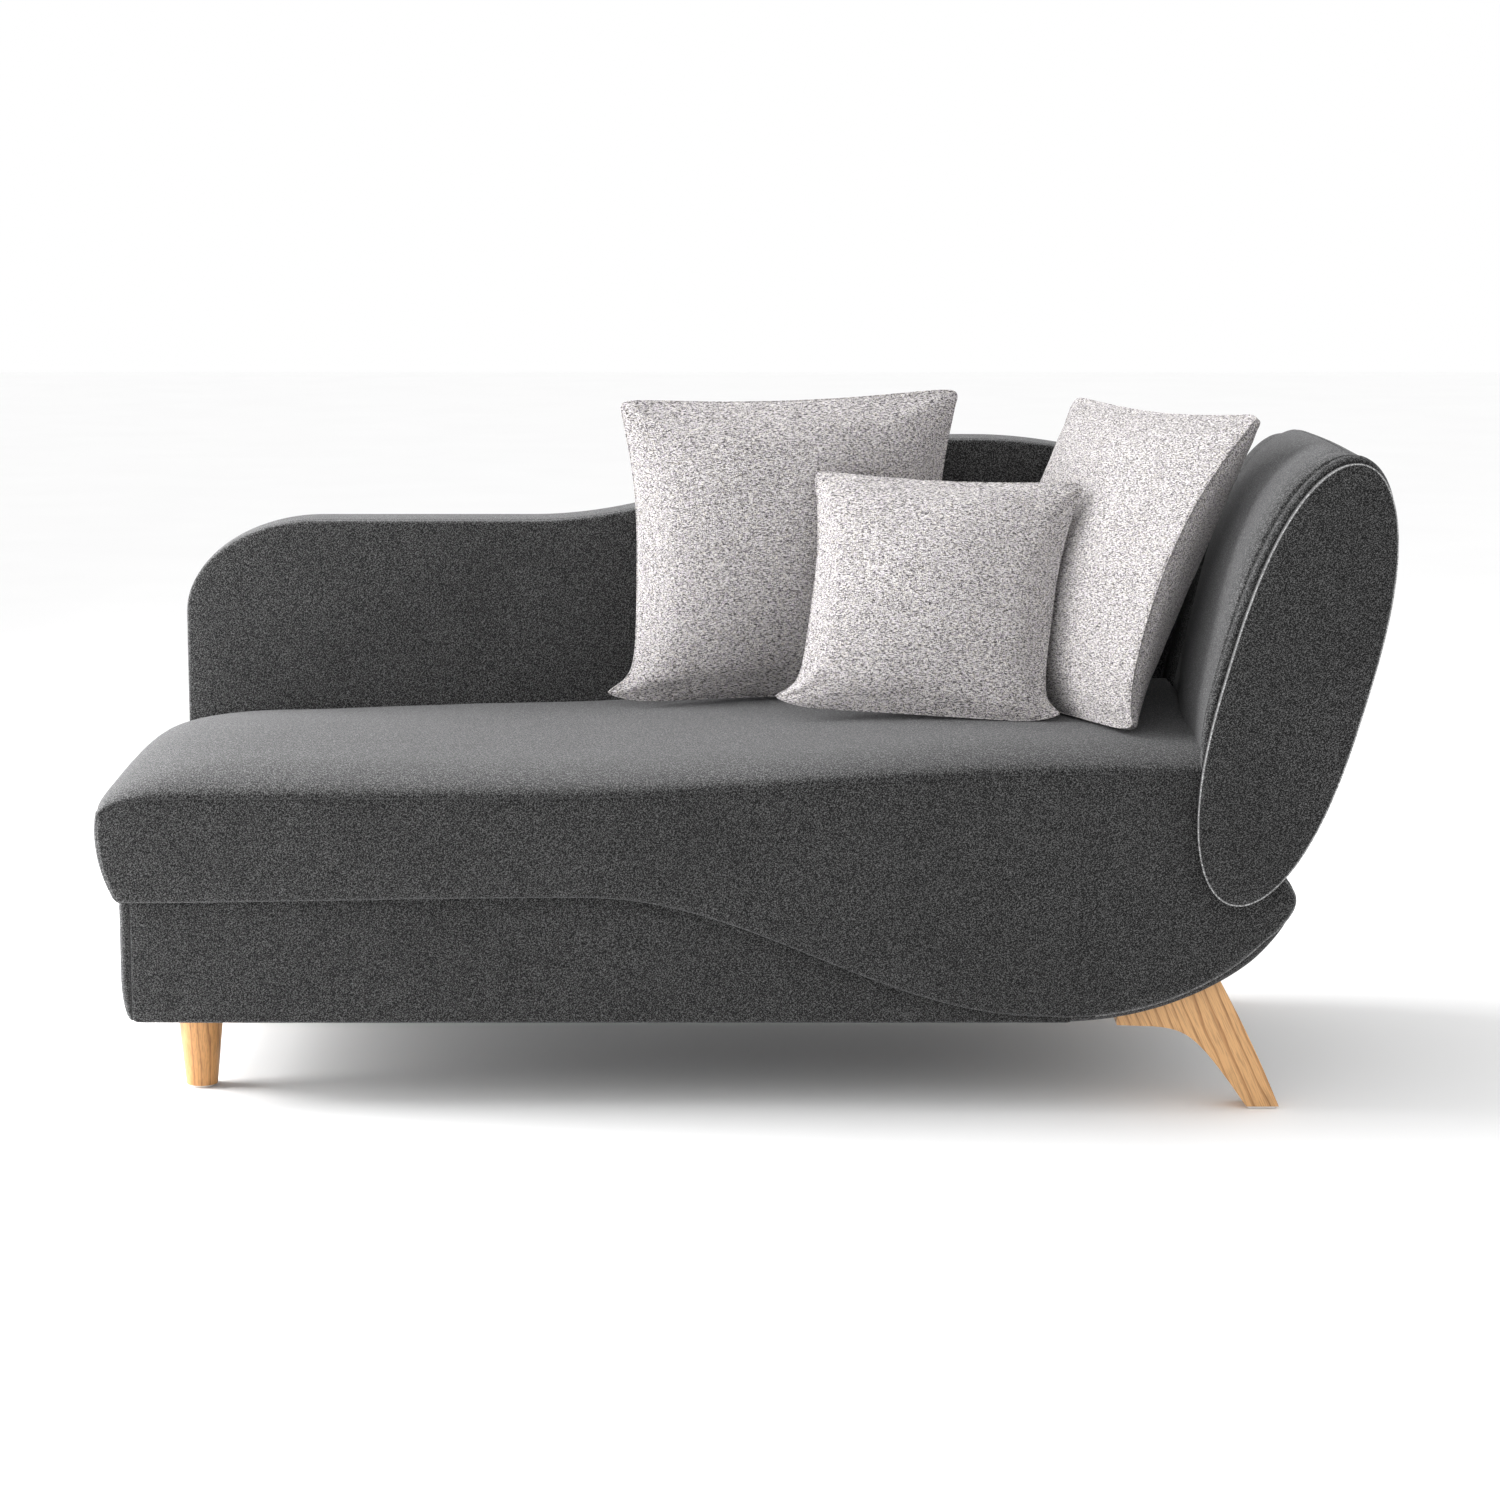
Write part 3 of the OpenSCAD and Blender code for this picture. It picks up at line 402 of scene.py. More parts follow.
def panel(name, outline, face, back, roll, bulge, spread=0.05, passes=3, cell=0.011, sign=-1,
          ripple=0.0006):
    """Padded panel: a face across the depth with rolled edges and a slight crown.

    outline is in x and z and is softened by passes. face and back are y. The edge is rolled with
    the radius roll, and the crown, bulge high, is reached spread inside it. cell is the size of
    the face's grid, ripple its unevenness, and sign is -1 where the face looks to -y."""
    p = soften(resample(ccw(np.asarray(outline, float)), OUTLINE_STEP), passes)
    n = len(p)
    rings, ys = [p, p], [back, face - sign * roll]
    for a in np.linspace(0, np.pi / 2, ROLL_STEPS + 1)[1:]:
        rings.append(inset(p, roll * (1 - math.cos(a))))
        ys.append(face - sign * roll * (1 - math.sin(a)))
    inner = rings.pop()

    # the face: the inner ring and a grid of points that keeps clear of it
    lo, hi = inner.min(0), inner.max(0)
    gx, gz = np.meshgrid(np.arange(lo[0], hi[0], cell), np.arange(lo[1], hi[1], cell), indexing="ij")
    q = np.stack([gx.ravel(), gz.ravel()], 1)
    q = q[inside(q, inner)]
    q = q[edge_distance(q, inner) > cell * 0.45]
    pts = [Vector(map(float, v)) for v in np.concatenate([inner, q])]
    v, _, triangles = delaunay_2d_cdt(pts, [], [list(range(n))], 1, 1e-7)[:3]
    v = np.array(v)
    far = np.clip((np.minimum(edge_distance(v, p), 1) - roll) / spread, 0, 1)
    y = (face + sign * bulge * (1 - (1 - far) ** 2)
         + wobble(v, scale=7, amount=ripple * 1.6, seed=face) * far
         + wobble(v, scale=19, amount=ripple, seed=back) * far)

    verts = [(x, ring_y, z) for ring, ring_y in zip(rings, ys) for x, z in ring]
    levels = [range(k * n, (k + 1) * n) for k in range(len(rings))]
    base = len(verts)
    verts += [(x, face_y, z) for (x, z), face_y in zip(v, y)]
    faces = [f for a, b in zip(levels, levels[1:]) for f in ring_faces(a, b)]
    faces += [tuple(base + k for k in t) for t in triangles]
    # the inner ring's points, found again by their place
    number = {(round(w[0], 6), round(w[1], 6)): i for i, w in enumerate(v)}
    found = [base + number.get((round(w[0], 6), round(w[1], 6)), i) for i, w in enumerate(inner)]
    faces += ring_faces(levels[-1], found)
    faces.append(tuple(range(n)))
    return outward(mesh_object(name, verts, faces))


def tube(name, path, radius, closed=False, sides=10):
    """Round welt along a path of points."""
    p = np.asarray(path, float)
    n = len(p)
    t = unit(np.roll(p, -1, 0) - np.roll(p, 1, 0) if closed else np.gradient(p, axis=0))
    # an upright slightly off y, so that no path runs along it
    a = unit(np.cross(t, [0, 1, 0.013]))
    b = np.cross(t, a)
    ang = np.linspace(0, 2 * np.pi, sides, endpoint=False)
    verts = p[:, None] + radius * (np.cos(ang)[None, :, None] * a[:, None]
                                   + np.sin(ang)[None, :, None] * b[:, None])
    rings = [range(i * sides, (i + 1) * sides) for i in range(n)]
    faces = [f for i in range(n if closed else n - 1)
             for f in ring_faces(rings[i], rings[(i + 1) % n])]
    if not closed:
        faces += [tuple(rings[0])[::-1], tuple(rings[-1])]
    return outward(mesh_object(name, verts.reshape(-1, 3), faces))


# Materials

class Mat:
    """A node material: its shader's own sockets are set by name."""

    def __init__(self, name, **sockets):
        self.m = bpy.data.materials.new(name)
        self.m.use_nodes = True
        self.t = self.m.node_tree
        self.b = self.t.nodes["Principled BSDF"]
        for k, v in sockets.items():
            self.b.inputs[k.replace("_", " ")].default_value = v
        self.xyz = self.node("ShaderNodeTexCoord").outputs["Object"]

    def node(self, kind, **values):
        """A new node; each value goes to its property, or else to its socket of that name."""
        n = self.t.nodes.new(kind)
        for k, v in values.items():
            if hasattr(n, k) and k not in n.inputs:
                setattr(n, k, v)
            else:
                n.inputs[k].default_value = v
        return n

    def link(self, a, b):
        self.t.links.new(a, b)

    def feed(self, value, socket):
        """Links a node's output to a socket, or writes a constant there."""
        if hasattr(value, "links"):
            self.link(value, socket)
        else:
            socket.default_value = value

    def scaled(self, scale, rotation=(0, 0, 0), lattice=(0, 0, 0)):
        """Object coordinates, turned by rotation, then scaled.

        lattice turns them last, so that no face lies along the noise's own grid."""
        turn = self.node("ShaderNodeMapping")
        turn.inputs["Rotation"].default_value = rotation
        self.link(self.xyz, turn.inputs["Vector"])
        m = self.node("ShaderNodeMapping")
        m.inputs["Scale"].default_value = scale
        m.inputs["Rotation"].default_value = lattice
        self.link(turn.outputs["Vector"], m.inputs["Vector"])
        return m.outputs["Vector"]

    def noise(self, scale, detail=2.0, rough=0.5, distortion=0.0, rotation=(0, 0, 0)):
        """Noise with scale cells per metre along each axis."""
        n = self.node("ShaderNodeTexNoise", Scale=1.0, Detail=detail, Roughness=rough,
                      Distortion=distortion)
        self.link(self.scaled(scale, rotation, (0.6, 0.4, 0.5)), n.inputs["Vector"])
        return n.outputs["Fac"]

    def ramp(self, fac, stops):
        """Colours, or greys given as one number, at the stops."""
        r = self.node("ShaderNodeValToRGB")
        e = r.color_ramp.elements
        while len(e) < len(stops):
            e.new(0.5)
        for k, (at, c) in enumerate(stops):
            e[k].position = at
            e[k].color = (*c, 1) if isinstance(c, tuple) else (c, c, c, 1)
        self.link(fac, r.inputs["Fac"])
        return r.outputs["Color"]

    def mix(self, kind, fac, a, b):
        """Colour mix: sockets 0, 6 and 7 are its factor and its two colours."""
        n = self.node("ShaderNodeMix")
        n.data_type = "RGBA"
        n.blend_type = kind
        for at, v in ((0, fac), (6, a), (7, b)):
            self.feed((*v, 1) if isinstance(v, tuple) else v, n.inputs[at])
        return n.outputs[2]

    def math(self, op, a, b=None):
        n = self.node("ShaderNodeMath", operation=op)
        for k, v in enumerate((a, b)):
            if v is not None:
                self.feed(v, n.inputs[k])
        return n.outputs[0]

    def weave(self, pitch):
        """Crossing threads on every face: product of waves along the three axes."""
        s = self.node("ShaderNodeSeparateXYZ")
        self.link(self.scaled((2 * math.pi / pitch,) * 3), s.inputs[0])
        x, y, z = (self.math("SINE", s.outputs[k]) for k in range(3))
        return self.math("ADD", self.math("MULTIPLY", x, z),
                         self.math("ADD", self.math("MULTIPLY", x, y), self.math("MULTIPLY", y, z)))

    def bump(self, *layers):
        """Bumps laid over each other, each a height and the distance it spans."""
        last = None
        for height, distance in layers:
            n = self.node("ShaderNodeBump", Strength=1.0, Distance=distance)
            self.link(height, n.inputs["Height"])
            if last is not None:
                self.link(last, n.inputs["Normal"])
            last = n.outputs["Normal"]
        self.link(last, self.b.inputs["Normal"])

    def color(self, c):
        self.link(c, self.b.inputs["Base Color"])

    def rough(self, fac, lo, hi):
        n = self.node("ShaderNodeMapRange")
        n.inputs["To Min"].default_value = lo
        n.inputs["To Max"].default_value = hi
        self.link(fac, n.inputs["Value"])
        self.link(n.outputs[0], self.b.inputs["Roughness"])


def charcoal(name, dark=0.001, mid=0.0075, light=0.112, sheen=0.29):
    """Heathered plain weave: flecks in three greys, drawn out into threads, with a slow cloud."""
    m = Mat(name, Sheen_Weight=sheen, Sheen_Roughness=0.46, Sheen_Tint=(0.95, 0.95, 0.97, 1),
            Specular_IOR_Level=0.15)
    fleck = m.noise((640, 230, 680), 2, 0.7)
    thread = m.noise((360, 200, 1200), 2, 0.6)
    base = m.ramp(fleck, [(0.42, dark), (0.50, mid), (0.58, light)])
    lines = m.ramp(thread, [(0.36, 0.60), (0.64, 1.45)])
    cloud = m.ramp(m.noise((7, 7, 7), 3, 0.6), [(0.3, 0.9), (0.7, 1.08)])
    m.color(m.mix("MULTIPLY", 1.0, m.mix("MULTIPLY", 1.0, base, lines), cloud))
    m.rough(fleck, 0.8, 0.98)
    m.bump((fleck, 0.0022))
    return m.m


def melange(name):
    """Pale weave of two crossing thread directions, each fleck slightly tinted."""
    m = Mat(name, Sheen_Weight=0.15, Sheen_Roughness=0.5, Specular_IOR_Level=0.2)
    weft = m.noise((230, 500, 900), 2, 0.7)
    warp = m.noise((900, 500, 270), 2, 0.7)
    over = m.ramp(m.weave(0.0034), [(0.46, 0.0), (0.54, 1.0)])
    both = m.mix("MIX", over, weft, warp)
    lo, mid, hi = 0.035, 0.32, 0.69
    base = m.ramp(both, [(0.40, (lo, lo * 0.90, lo * 0.96)), (0.48, (mid, mid * 0.95, mid * 0.95)),
                         (0.57, (hi, hi * 0.975, hi * 0.965))])
    tint = m.ramp(m.noise((330, 330, 330), 2, 0.6),
                  [(0.32, (0.88, 0.80, 0.93)), (0.5, (1.0, 1.0, 1.0)), (0.68, (1.0, 0.95, 0.86))])
    m.color(m.mix("MULTIPLY", 0.8, base, tint))
    m.rough(both, 0.85, 0.98)
    m.bump((both, 0.0009), (m.weave(0.0024), 0.0002))
    return m.m


def wood(name, pale, deep, rotation):
    """Grain along the piece's own z once turned: bent growth rings, fine pores, a slow drift."""
    m = Mat(name, Specular_IOR_Level=0.4, Coat_Weight=0.15, Coat_Roughness=0.35)
    w = m.node("ShaderNodeTexWave", Scale=1.0, Distortion=10.0, Detail=3.0)
    w.wave_type = "BANDS"
    w.bands_direction = "X"
    w.wave_profile = "SAW"
    w.inputs["Detail Scale"].default_value = 0.7
    m.link(m.scaled((24.0, 24.0, 3.6), rotation), w.inputs["Vector"])
    rings = m.ramp(w.outputs["Fac"], [(0.0, pale), (0.70, pale), (0.94, deep), (1.0, pale)])
    drift = m.ramp(m.noise((14, 14, 3), 2, 0.5, 0.3, rotation), [(0.3, 0.86), (0.7, 1.06)])
    pores = m.noise((620, 620, 34), 3, 0.65, 0, rotation)
    c = m.mix("MIX", 0.8, pale, rings)
    c = m.mix("MULTIPLY", 0.55, c, m.ramp(pores, [(0.36, 0.50), (0.54, 1.05)]))
    m.color(m.mix("MULTIPLY", 1.0, c, drift))
    m.rough(pores, 0.36, 0.5)
    m.bump((pores, 0.00012), (w.outputs["Fac"], 0.00006))
    return m.m


def plain_cloth(name, color, scale):
    m = Mat(name, Sheen_Weight=0.1, Specular_IOR_Level=0.2)
    n = m.noise((scale, scale, scale), 2, 0.6)
    m.color(m.mix("MULTIPLY", 1.0, color, m.ramp(n, [(0.3, 0.7), (0.7, 1.25)])))
    m.rough(n, 0.85, 0.98)
    m.bump((n, 0.0005), (m.weave(0.003), 0.0002))
    return m.m


def foam_look(name, color):
    m = Mat(name, Specular_IOR_Level=0.15)
    v = m.node("ShaderNodeTexVoronoi", Scale=1.0)
    m.link(m.scaled((700, 700, 700)), v.inputs["Vector"])
    m.color(m.mix("MULTIPLY", 1.0, color, m.ramp(v.outputs["Distance"], [(0.1, 0.72), (0.6, 1.05)])))
    m.rough(v.outputs["Distance"], 0.85, 1.0)
    m.bump((v.outputs["Distance"], 0.0006))
    return m.m


def metal(name):
    """Brushed: the noise is drawn out along y."""
    m = Mat(name, Metallic=1.0, Specular_IOR_Level=0.5)
    n = m.noise((900, 40, 900), 3, 0.6)
    m.color(m.ramp(n, [(0.3, 0.42), (0.7, 0.66)]))
    m.rough(n, 0.28, 0.45)
    m.bump((n, 0.00005))
    return m.m


def plastic(name, color):
    m = Mat(name, Specular_IOR_Level=0.4)
    n = m.noise((500, 500, 500), 2, 0.5)
    m.color(m.mix("MULTIPLY", 1.0, color, m.ramp(n, [(0.3, 0.93), (0.7, 1.04)])))
    m.rough(n, 0.4, 0.55)
    m.bump((n, 0.00005))
    return m.m


OAK_PALE, OAK_WARM, OAK_DEEP = (0.67, 0.38, 0.165), (0.60, 0.30, 0.105), (0.30, 0.125, 0.038)
LENGTHWISE = (0, math.radians(90), 0)       # grain along x instead of z
looks = {
    "upholstery": charcoal("charcoal_weave"),
    "underside": charcoal("underside_weave", 0.006, 0.022, 0.07, 0.2),
    "cushion_cover": melange("pale_melange"),
    "filling": plain_cloth("fibre_filling", (0.8, 0.8, 0.78), 300),
    "foam": foam_look("open_foam", (0.85, 0.78, 0.5)),
    "webbing": plain_cloth("elastic_webbing", (0.03, 0.03, 0.033), 500),
    "leg_wood": wood("leg_oak", OAK_WARM, OAK_DEEP, (0, 0, 0)),
    "frame_wood": wood("planed_pine", (0.78, 0.6, 0.34), (0.62, 0.4, 0.18), LENGTHWISE),
    "plywood": wood("sanded_plywood", (0.7, 0.52, 0.3), (0.56, 0.38, 0.19), LENGTHWISE),
    "steel": metal("zinc_steel"),
    "glide": plastic("glide_plastic", (0.8, 0.8, 0.8)),
}
# a lighter copy of the charcoal with strong sheen: painted highlight for the welt along the cheek's rim
highlight_piping = charcoal("painted_highlight_piping_weave", 0.14, 0.32, 0.60, 0.8)
# a lighter copy of the charcoal with strong sheen: painted highlight for the welt along the front panel's
# lower edge
highlight_edge_look = charcoal("painted_highlight_edge_weave", 0.05, 0.13, 0.30, 0.8)
curved_oak = wood("curved_leg_oak", OAK_PALE, OAK_DEEP, (0, math.radians(24), 0))
slots = {s["node"]: s["material_slot"] for s in frame["record"]["subparts"]}
for node_name, o in frame["nodes"].items():
    o.data.materials.clear()
    o.data.materials.append(curved_oak if node_name.startswith("curved_leg") else looks[slots[node_name]])


def dress(o, slot_name, *nodes, body="frame", fill=None, look=None):
    """Gives a piece its material, by slot_name unless a look is given, its body and its replaced nodes; fill
    (padding) is not used.
    """
    o.data.materials.clear()
    o.data.materials.append(look or looks[slot_name])
    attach(o, body)
    if nodes:
        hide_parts(*nodes)


# Seat

def rounded_then_flat(n_round, n_flat):
    """The cosine of the angle over a rounding, then the share passed of the flat part after it."""
    return (np.concatenate([np.cos(np.linspace(0, np.pi / 2, n_round + 1)), np.zeros(n_flat)]),
            np.concatenate([np.zeros(n_round + 1), np.linspace(0, 1, n_flat + 1)[1:]]))


def seat_surface():
    """Top of the seat: rounded down to the free end and to the front, crowned between them."""
    (a, fx), (b, fy) = rounded_then_flat(18, 110), rounded_then_flat(12, 44)
    A, B = np.meshgrid(a, b, indexing="ij")
    FX, FY = np.meshgrid(fx, fy, indexing="ij")
    x = LEFT + END_ROUND * (1 - A) + (SEAT_RIGHT - LEFT - END_ROUND) * FX + CORNER_PULL * (A * B) ** 4
    y = WAVE_FRONT + FRONT_ROUND * (1 - B) + (BACK_FACE - WAVE_FRONT - FRONT_ROUND) * FY
    drop = np.minimum(END_DROP, np.hypot(END_DROP * (1 - np.sqrt(1 - A * A)),
                                         FRONT_DROP * (1 - np.sqrt(1 - B * B))))
    # the crown of the free end gives way to the seat's own, which is highest towards the rear
    along = np.sin(np.pi / 2 * np.minimum(1, FX * END_PASSED))
    deep = (y - WAVE_FRONT) / (BACK_FACE - WAVE_FRONT)
    crown = (1 - A ** 12) * (along * SEAT_CROWN * np.sin(np.pi * CROWN_PHASE * deep)
                             + (1 - along) * END_CROWN * np.maximum(0, np.sin(np.pi * deep)) ** 0.9)
    return np.stack([x, y, seat_line(x) - drop + crown], 2)


top = seat_surface()
rim_front = top[:, 0].copy()
# slight unevenness, which fades out over the first rows at both edges
END_FADE, FRONT_FADE = 14, 12
n_i, n_j = top.shape[:2]
fade = np.minimum(1, np.arange(n_i) / END_FADE)[:, None] * np.minimum(1, np.arange(n_j) / FRONT_FADE)
flat = top.reshape(-1, 3)
uneven = wobble(flat, scale=4.5, amount=0.0016, seed=3.1) + wobble(flat, scale=15, amount=0.0005, seed=8.2)
top[..., 2] += uneven.reshape(n_i, n_j) * fade
# the cover turns in at the seam
rows = np.concatenate([top[:1] + (TUCK, 0, -TUCK_DROP), top])
rows = np.concatenate([rows[:, :1] + (0, TUCK, -TUCK_DROP), rows], 1)
under = rows.copy()
under[..., 0] = np.maximum(under[..., 0], LEFT + 0.037)
under[..., 1] = np.maximum(under[..., 1], PAD_FRONT + 0.001)
under[..., 2] = DECK_Z + 0.005
dress(between("seat_cover", rows, under), "upholstery", "seat_top", "seat_foam", fill=0.9)

# Front panel with its wave; PANEL_TIP is its rounded tip at the boat end

PANEL_TIP = [[0.6800, 0.2375], [0.6945, 0.2545], [0.7020, 0.2665], [0.7048, 0.2770],
             [0.7035, 0.2870], [0.6975, 0.2975], [0.6893, 0.3050], [0.6740, 0.3180]]
tip = np.concatenate([boat_arc(np.linspace(0, 54, 40), 0.0075), PANEL_TIP])
left_side = np.array([[end_x(z) + CORNER_IN, z] for z in np.linspace(SEAT_EDGE, END_Z - 0.001, 14)])
rim_top = np.array([[p[0], p[2] - TUCK_DROP] for p in rim_front if p[0] > LEFT + CORNER_IN + 0.002])
tucked = [[SEAT_RIGHT + 0.003, TUCK_Z - 0.006], [0.642, TUCK_Z - 0.006]]
wave = np.array([[x, wave_z(x)] for x in np.arange(BOAT_X - 0.01, LEFT + 0.045, -0.012)])
front_panel = panel("front_panel", np.concatenate([left_side, rim_top, tucked, tip[::-1], wave]),
                    WAVE_FRONT, PAD_FRONT - CLEAR, roll=0.0050, bulge=0.0015, spread=0.03, passes=5)
dress(front_panel, "upholstery", "wave_panel", "wave_board", fill=0.9)
lower_edge = soften_open(resample(tip[6:-1], 0.004, closed=False), 1)
# a thin welt along the panel's lower edge in the lighter weave: a painted highlight
wave_highlight_welt = tube("wave_highlight_welt", at_depth(lower_edge, WAVE_FRONT + 0.0026), radius=0.0010)
dress(wave_highlight_welt, "upholstery", look=highlight_edge_look)


# Padded ends of the seat and the base

def end_grid(z_low, z_high, n_z, y_front):
    """z and y over a padded end, close together at its edges and its front seam."""
    return np.meshgrid(cosine_steps(z_low, z_high, n_z), power_steps(y_front, SIDE_REAR, 70, 1.7),
                       indexing="ij")


def unevenness(Y, Z, y_front, scale, amount, seed):
    """Slow unevenness of a padded end, none at its front seam."""
    points = np.stack([Y, Z], 2).reshape(-1, 2)
    return wobble(points, scale, amount, seed).reshape(Z.shape) * np.clip((Y - y_front) / 0.05, 0, 1)


def padded_end(name, x, Y, Z, board_front, seam_x, board_x):
    """Padding with its face at x: thin in front of the board, and down to board_x behind that."""
    face = np.stack([x, Y, Z], 2)
    hidden = face.copy()
    hidden[..., 0] = np.where(Y < board_front, np.maximum(x + 0.0006, seam_x), board_x)
    return between(name, face, hidden)


y0 = WAVE_FRONT + 0.0022
Z, Y = end_grid(SEAT_EDGE, END_Z - 0.0006, 34, y0)
hollow = 0.0012 * np.sin(np.pi * (Z - SEAT_EDGE) / (END_Z - SEAT_EDGE)) * np.clip((Y - y0) / 0.1, 0, 1)
x = (end_x(Z) + fall(Z - SEAT_EDGE, 0.007, 0.0045) + fall(END_Z - Z, 0.004, 0.0012)
     + fall(Y - y0, 0.016, 0.0065) + fall(SIDE_REAR - Y, 0.010, 0.004) - hollow)
x = np.maximum(x + unevenness(Y, Z, y0, scale=9, amount=0.0009, seed=2.2), LEFT - 0.0035)
end_panel = padded_end("end_panel", x, Y, Z, PAD_FRONT, end_x(Z) + CORNER_IN - 0.0002, LEFT + 0.0355)
dress(end_panel, "upholstery", "seat_end_panel", fill=0.9)

# the seat's rounding carries on beside the back
U, V = np.meshgrid(np.linspace(0, 1, 16), np.linspace(0, 1, 14), indexing="ij")
corner_w, corner_up, corner_down = 0.0377, 0.013, 0.007     # its width, rise and rear rounding
rear_edge = corner_down * (1 - np.sqrt(1 - np.clip((V - 0.88) / 0.12, 0, 1) ** 2))
corner_top = np.stack([LEFT + corner_w * U, BACK_FACE + 0.001 + (SIDE_REAR - BACK_FACE) * V,
                       END_Z + corner_up * np.sin(np.pi / 2 * U) - rear_edge], 2)
corner_low = corner_top.copy()
corner_low[..., 0] = np.maximum(corner_low[..., 0], LEFT + 0.0008)
corner_low[..., 2] = END_Z - 0.012
dress(between("end_corner", corner_top, corner_low), "upholstery", fill=0.9)

# the base's front panel ends at the boat end, hidden behind the wave
base_right, base_top, seam_top = BOAT_X + 0.02, SEAT_EDGE + 0.010, SEAT_EDGE - 0.001
base_outline = [[BASE_SEAM, BASE_LOW], [base_right, BASE_LOW], [base_right, base_top],
                [LEFT + 0.040, base_top], [LEFT + 0.040, seam_top], [BASE_SEAM, seam_top]]
base_front = panel("base_front", base_outline, PAD_FRONT, SIDE_FRONT - CLEAR, roll=0.0045, bulge=0.0015,
                   passes=5)
dress(base_front, "upholstery", "base_front_panel", fill=0.9)

y0 = PAD_FRONT + 0.0012
Z, Y = end_grid(BASE_LOW, seam_top, 36, y0)
x = (BASE_LEFT - 0.0082 + fall(Z - BASE_LOW, 0.062, 0.0140) + fall(SEAT_EDGE - Z, 0.012, 0.0006)
     + fall(Y - y0, 0.014, 0.0090) * (0.35 + 0.65 * rolled(Z - BASE_LOW, 0.05))
     + fall(SIDE_REAR - Y, 0.014, 0.008))
x = np.minimum(x + unevenness(Y, Z, y0, scale=8, amount=0.0010, seed=5.7), BASE_SEAM - 0.0012)
# its lower front corner is rounded with the front's
Z = Z + fall(Y - y0, 0.022, 0.008) * (1 - (Z - BASE_LOW) / (seam_top - BASE_LOW)) ** 6
base_end = padded_end("base_end", x, Y, Z, SIDE_FRONT, BASE_SEAM - CLEAR, BOARD_LEFT - CLEAR)
dress(base_end, "upholstery", "base_end_panel", fill=0.9)

# Underside of the boat end: its sag at the given angles, then its wrap round the tip

SAG_AT = ([-3, 0, 15, 30, 48, 58, 62], [SAG, SAG, 0.0043, 0.0052, 0.0078, 0.0056, 0.0040])
COVER_TIP = [[0.7010, 0.2560], [0.7060, 0.2665], [0.7075, 0.2770], [0.7060, 0.2870],
             [0.7005, 0.2975], [0.6920, 0.3070], [0.6800, 0.3170]]
angle = np.linspace(-3, 62, 44)
line = np.concatenate([boat_arc(angle, -np.interp(angle, *SAG_AT)), COVER_TIP])
line = soften_open(resample(line, 0.005, closed=False), 3)
depths = power_steps(PAD_FRONT, SIDE_REAR, 50, 1.3)
fold = fall(depths - depths[0], 0.012, 0.0085) + fall(depths[-1] - depths, 0.004, 0.002)
boat = strip("boat_underside", line, depths, fold, 0.0125)
dress(boat, "underside", "boat_cover", fill=0.8, look=looks["upholstery"])

# Back

edge = back_edge(BACK_FOOT, BACK_LAST)


def back_outline():
    """The back's front panel, cut out round the headboard."""
    keep = []
    for x, z in edge:
        dx, dz = x - OVAL_X, z - OVAL_Z
        l = dx * math.sin(OVAL_TILT) + dz * math.cos(OVAL_TILT)
        w = dx * math.cos(OVAL_TILT) - dz * math.sin(OVAL_TILT)
        if (abs(l) / (OVAL_A - HEAD_CUT)) ** (2 / OVAL_EASE) + (w / (OVAL_B - HEAD_CUT)) ** 2 < 1:
            break
        keep.append([x, z])
    last = keep[-1]
    # down the headboard's near side
    pts = [list(p) for p in np.stack(oval_point(np.linspace(358, 236, 60), -HEAD_CUT), 1)
           if p[1] < last[1] - 0.004 and p[1] > 0.330 and p[0] < OVAL_X + 0.2]
    return np.array(keep + pts + [[pts[-1][0], BACK_FOOT]])


back_front = panel("back_front", back_outline(), BACK_FACE, BACK_FACE + 0.008, roll=0.005, bulge=0.0025,
                   spread=0.07, passes=2)
dress(back_front, "upholstery", "back_front_panel", "back_foam", fill=0.9)

# the band round the back's edge; its right end goes into the headboard
BAND_LAST, BAND_THICK, BAND_CROWN = 0.725, 0.011, 0.002
share = np.linspace(0, 1, 16)
band_y, band_w = BACK_FACE + 0.0055, SIDE_REAR + 0.0045 - (BACK_FACE + 0.0055)
crown = -fall(np.minimum(share, 1 - share) * band_w, 0.008, 0.0045) + BAND_CROWN * np.sin(np.pi * share)
border = strip("back_band", resample(edge[edge[:, 0] < BAND_LAST], 0.006, closed=False),
               band_y + band_w * share, crown, -BAND_THICK)
dress(border, "upholstery", "back_border", fill=0.9)

# Rear: one panel over the base, the seat's end, the back and the headboard

boat_edge = line[line[:, 0] > BOAT_X + 0.002]
seat_end = np.array([[end_x(z), z] for z in np.linspace(SEAT_EDGE, END_Z, 10)])[1:]
rear_outline = union_outline([
    np.concatenate([[[BASE_LEFT, BASE_LOW], [BOAT_X, BASE_LOW]], boat_edge,
                    [[0.662, TUCK_Z], [BASE_LEFT, TUCK_Z]]]),
    np.concatenate([seat_end, [[LEFT + 0.010, END_Z - 0.005], [LEFT + 0.0385, END_Z + 0.003],
                               [LEFT + 0.0385, SEAT_EDGE]]]),
    np.concatenate([edge[edge[:, 0] < 0.715],
                    [[0.715, 0.560], [0.60, 0.5], [0.60, 0.28], [edge[0, 0], 0.28]]]),
    oval(-0.023, 120)])
rear = panel("rear_cover", rear_outline, REAR, SIDE_REAR, roll=0.005, bulge=0.0, cell=0.016, sign=1,
             ripple=0.0)
dress(rear, "upholstery", "rear_panel", fill=0.8)

# Headboard

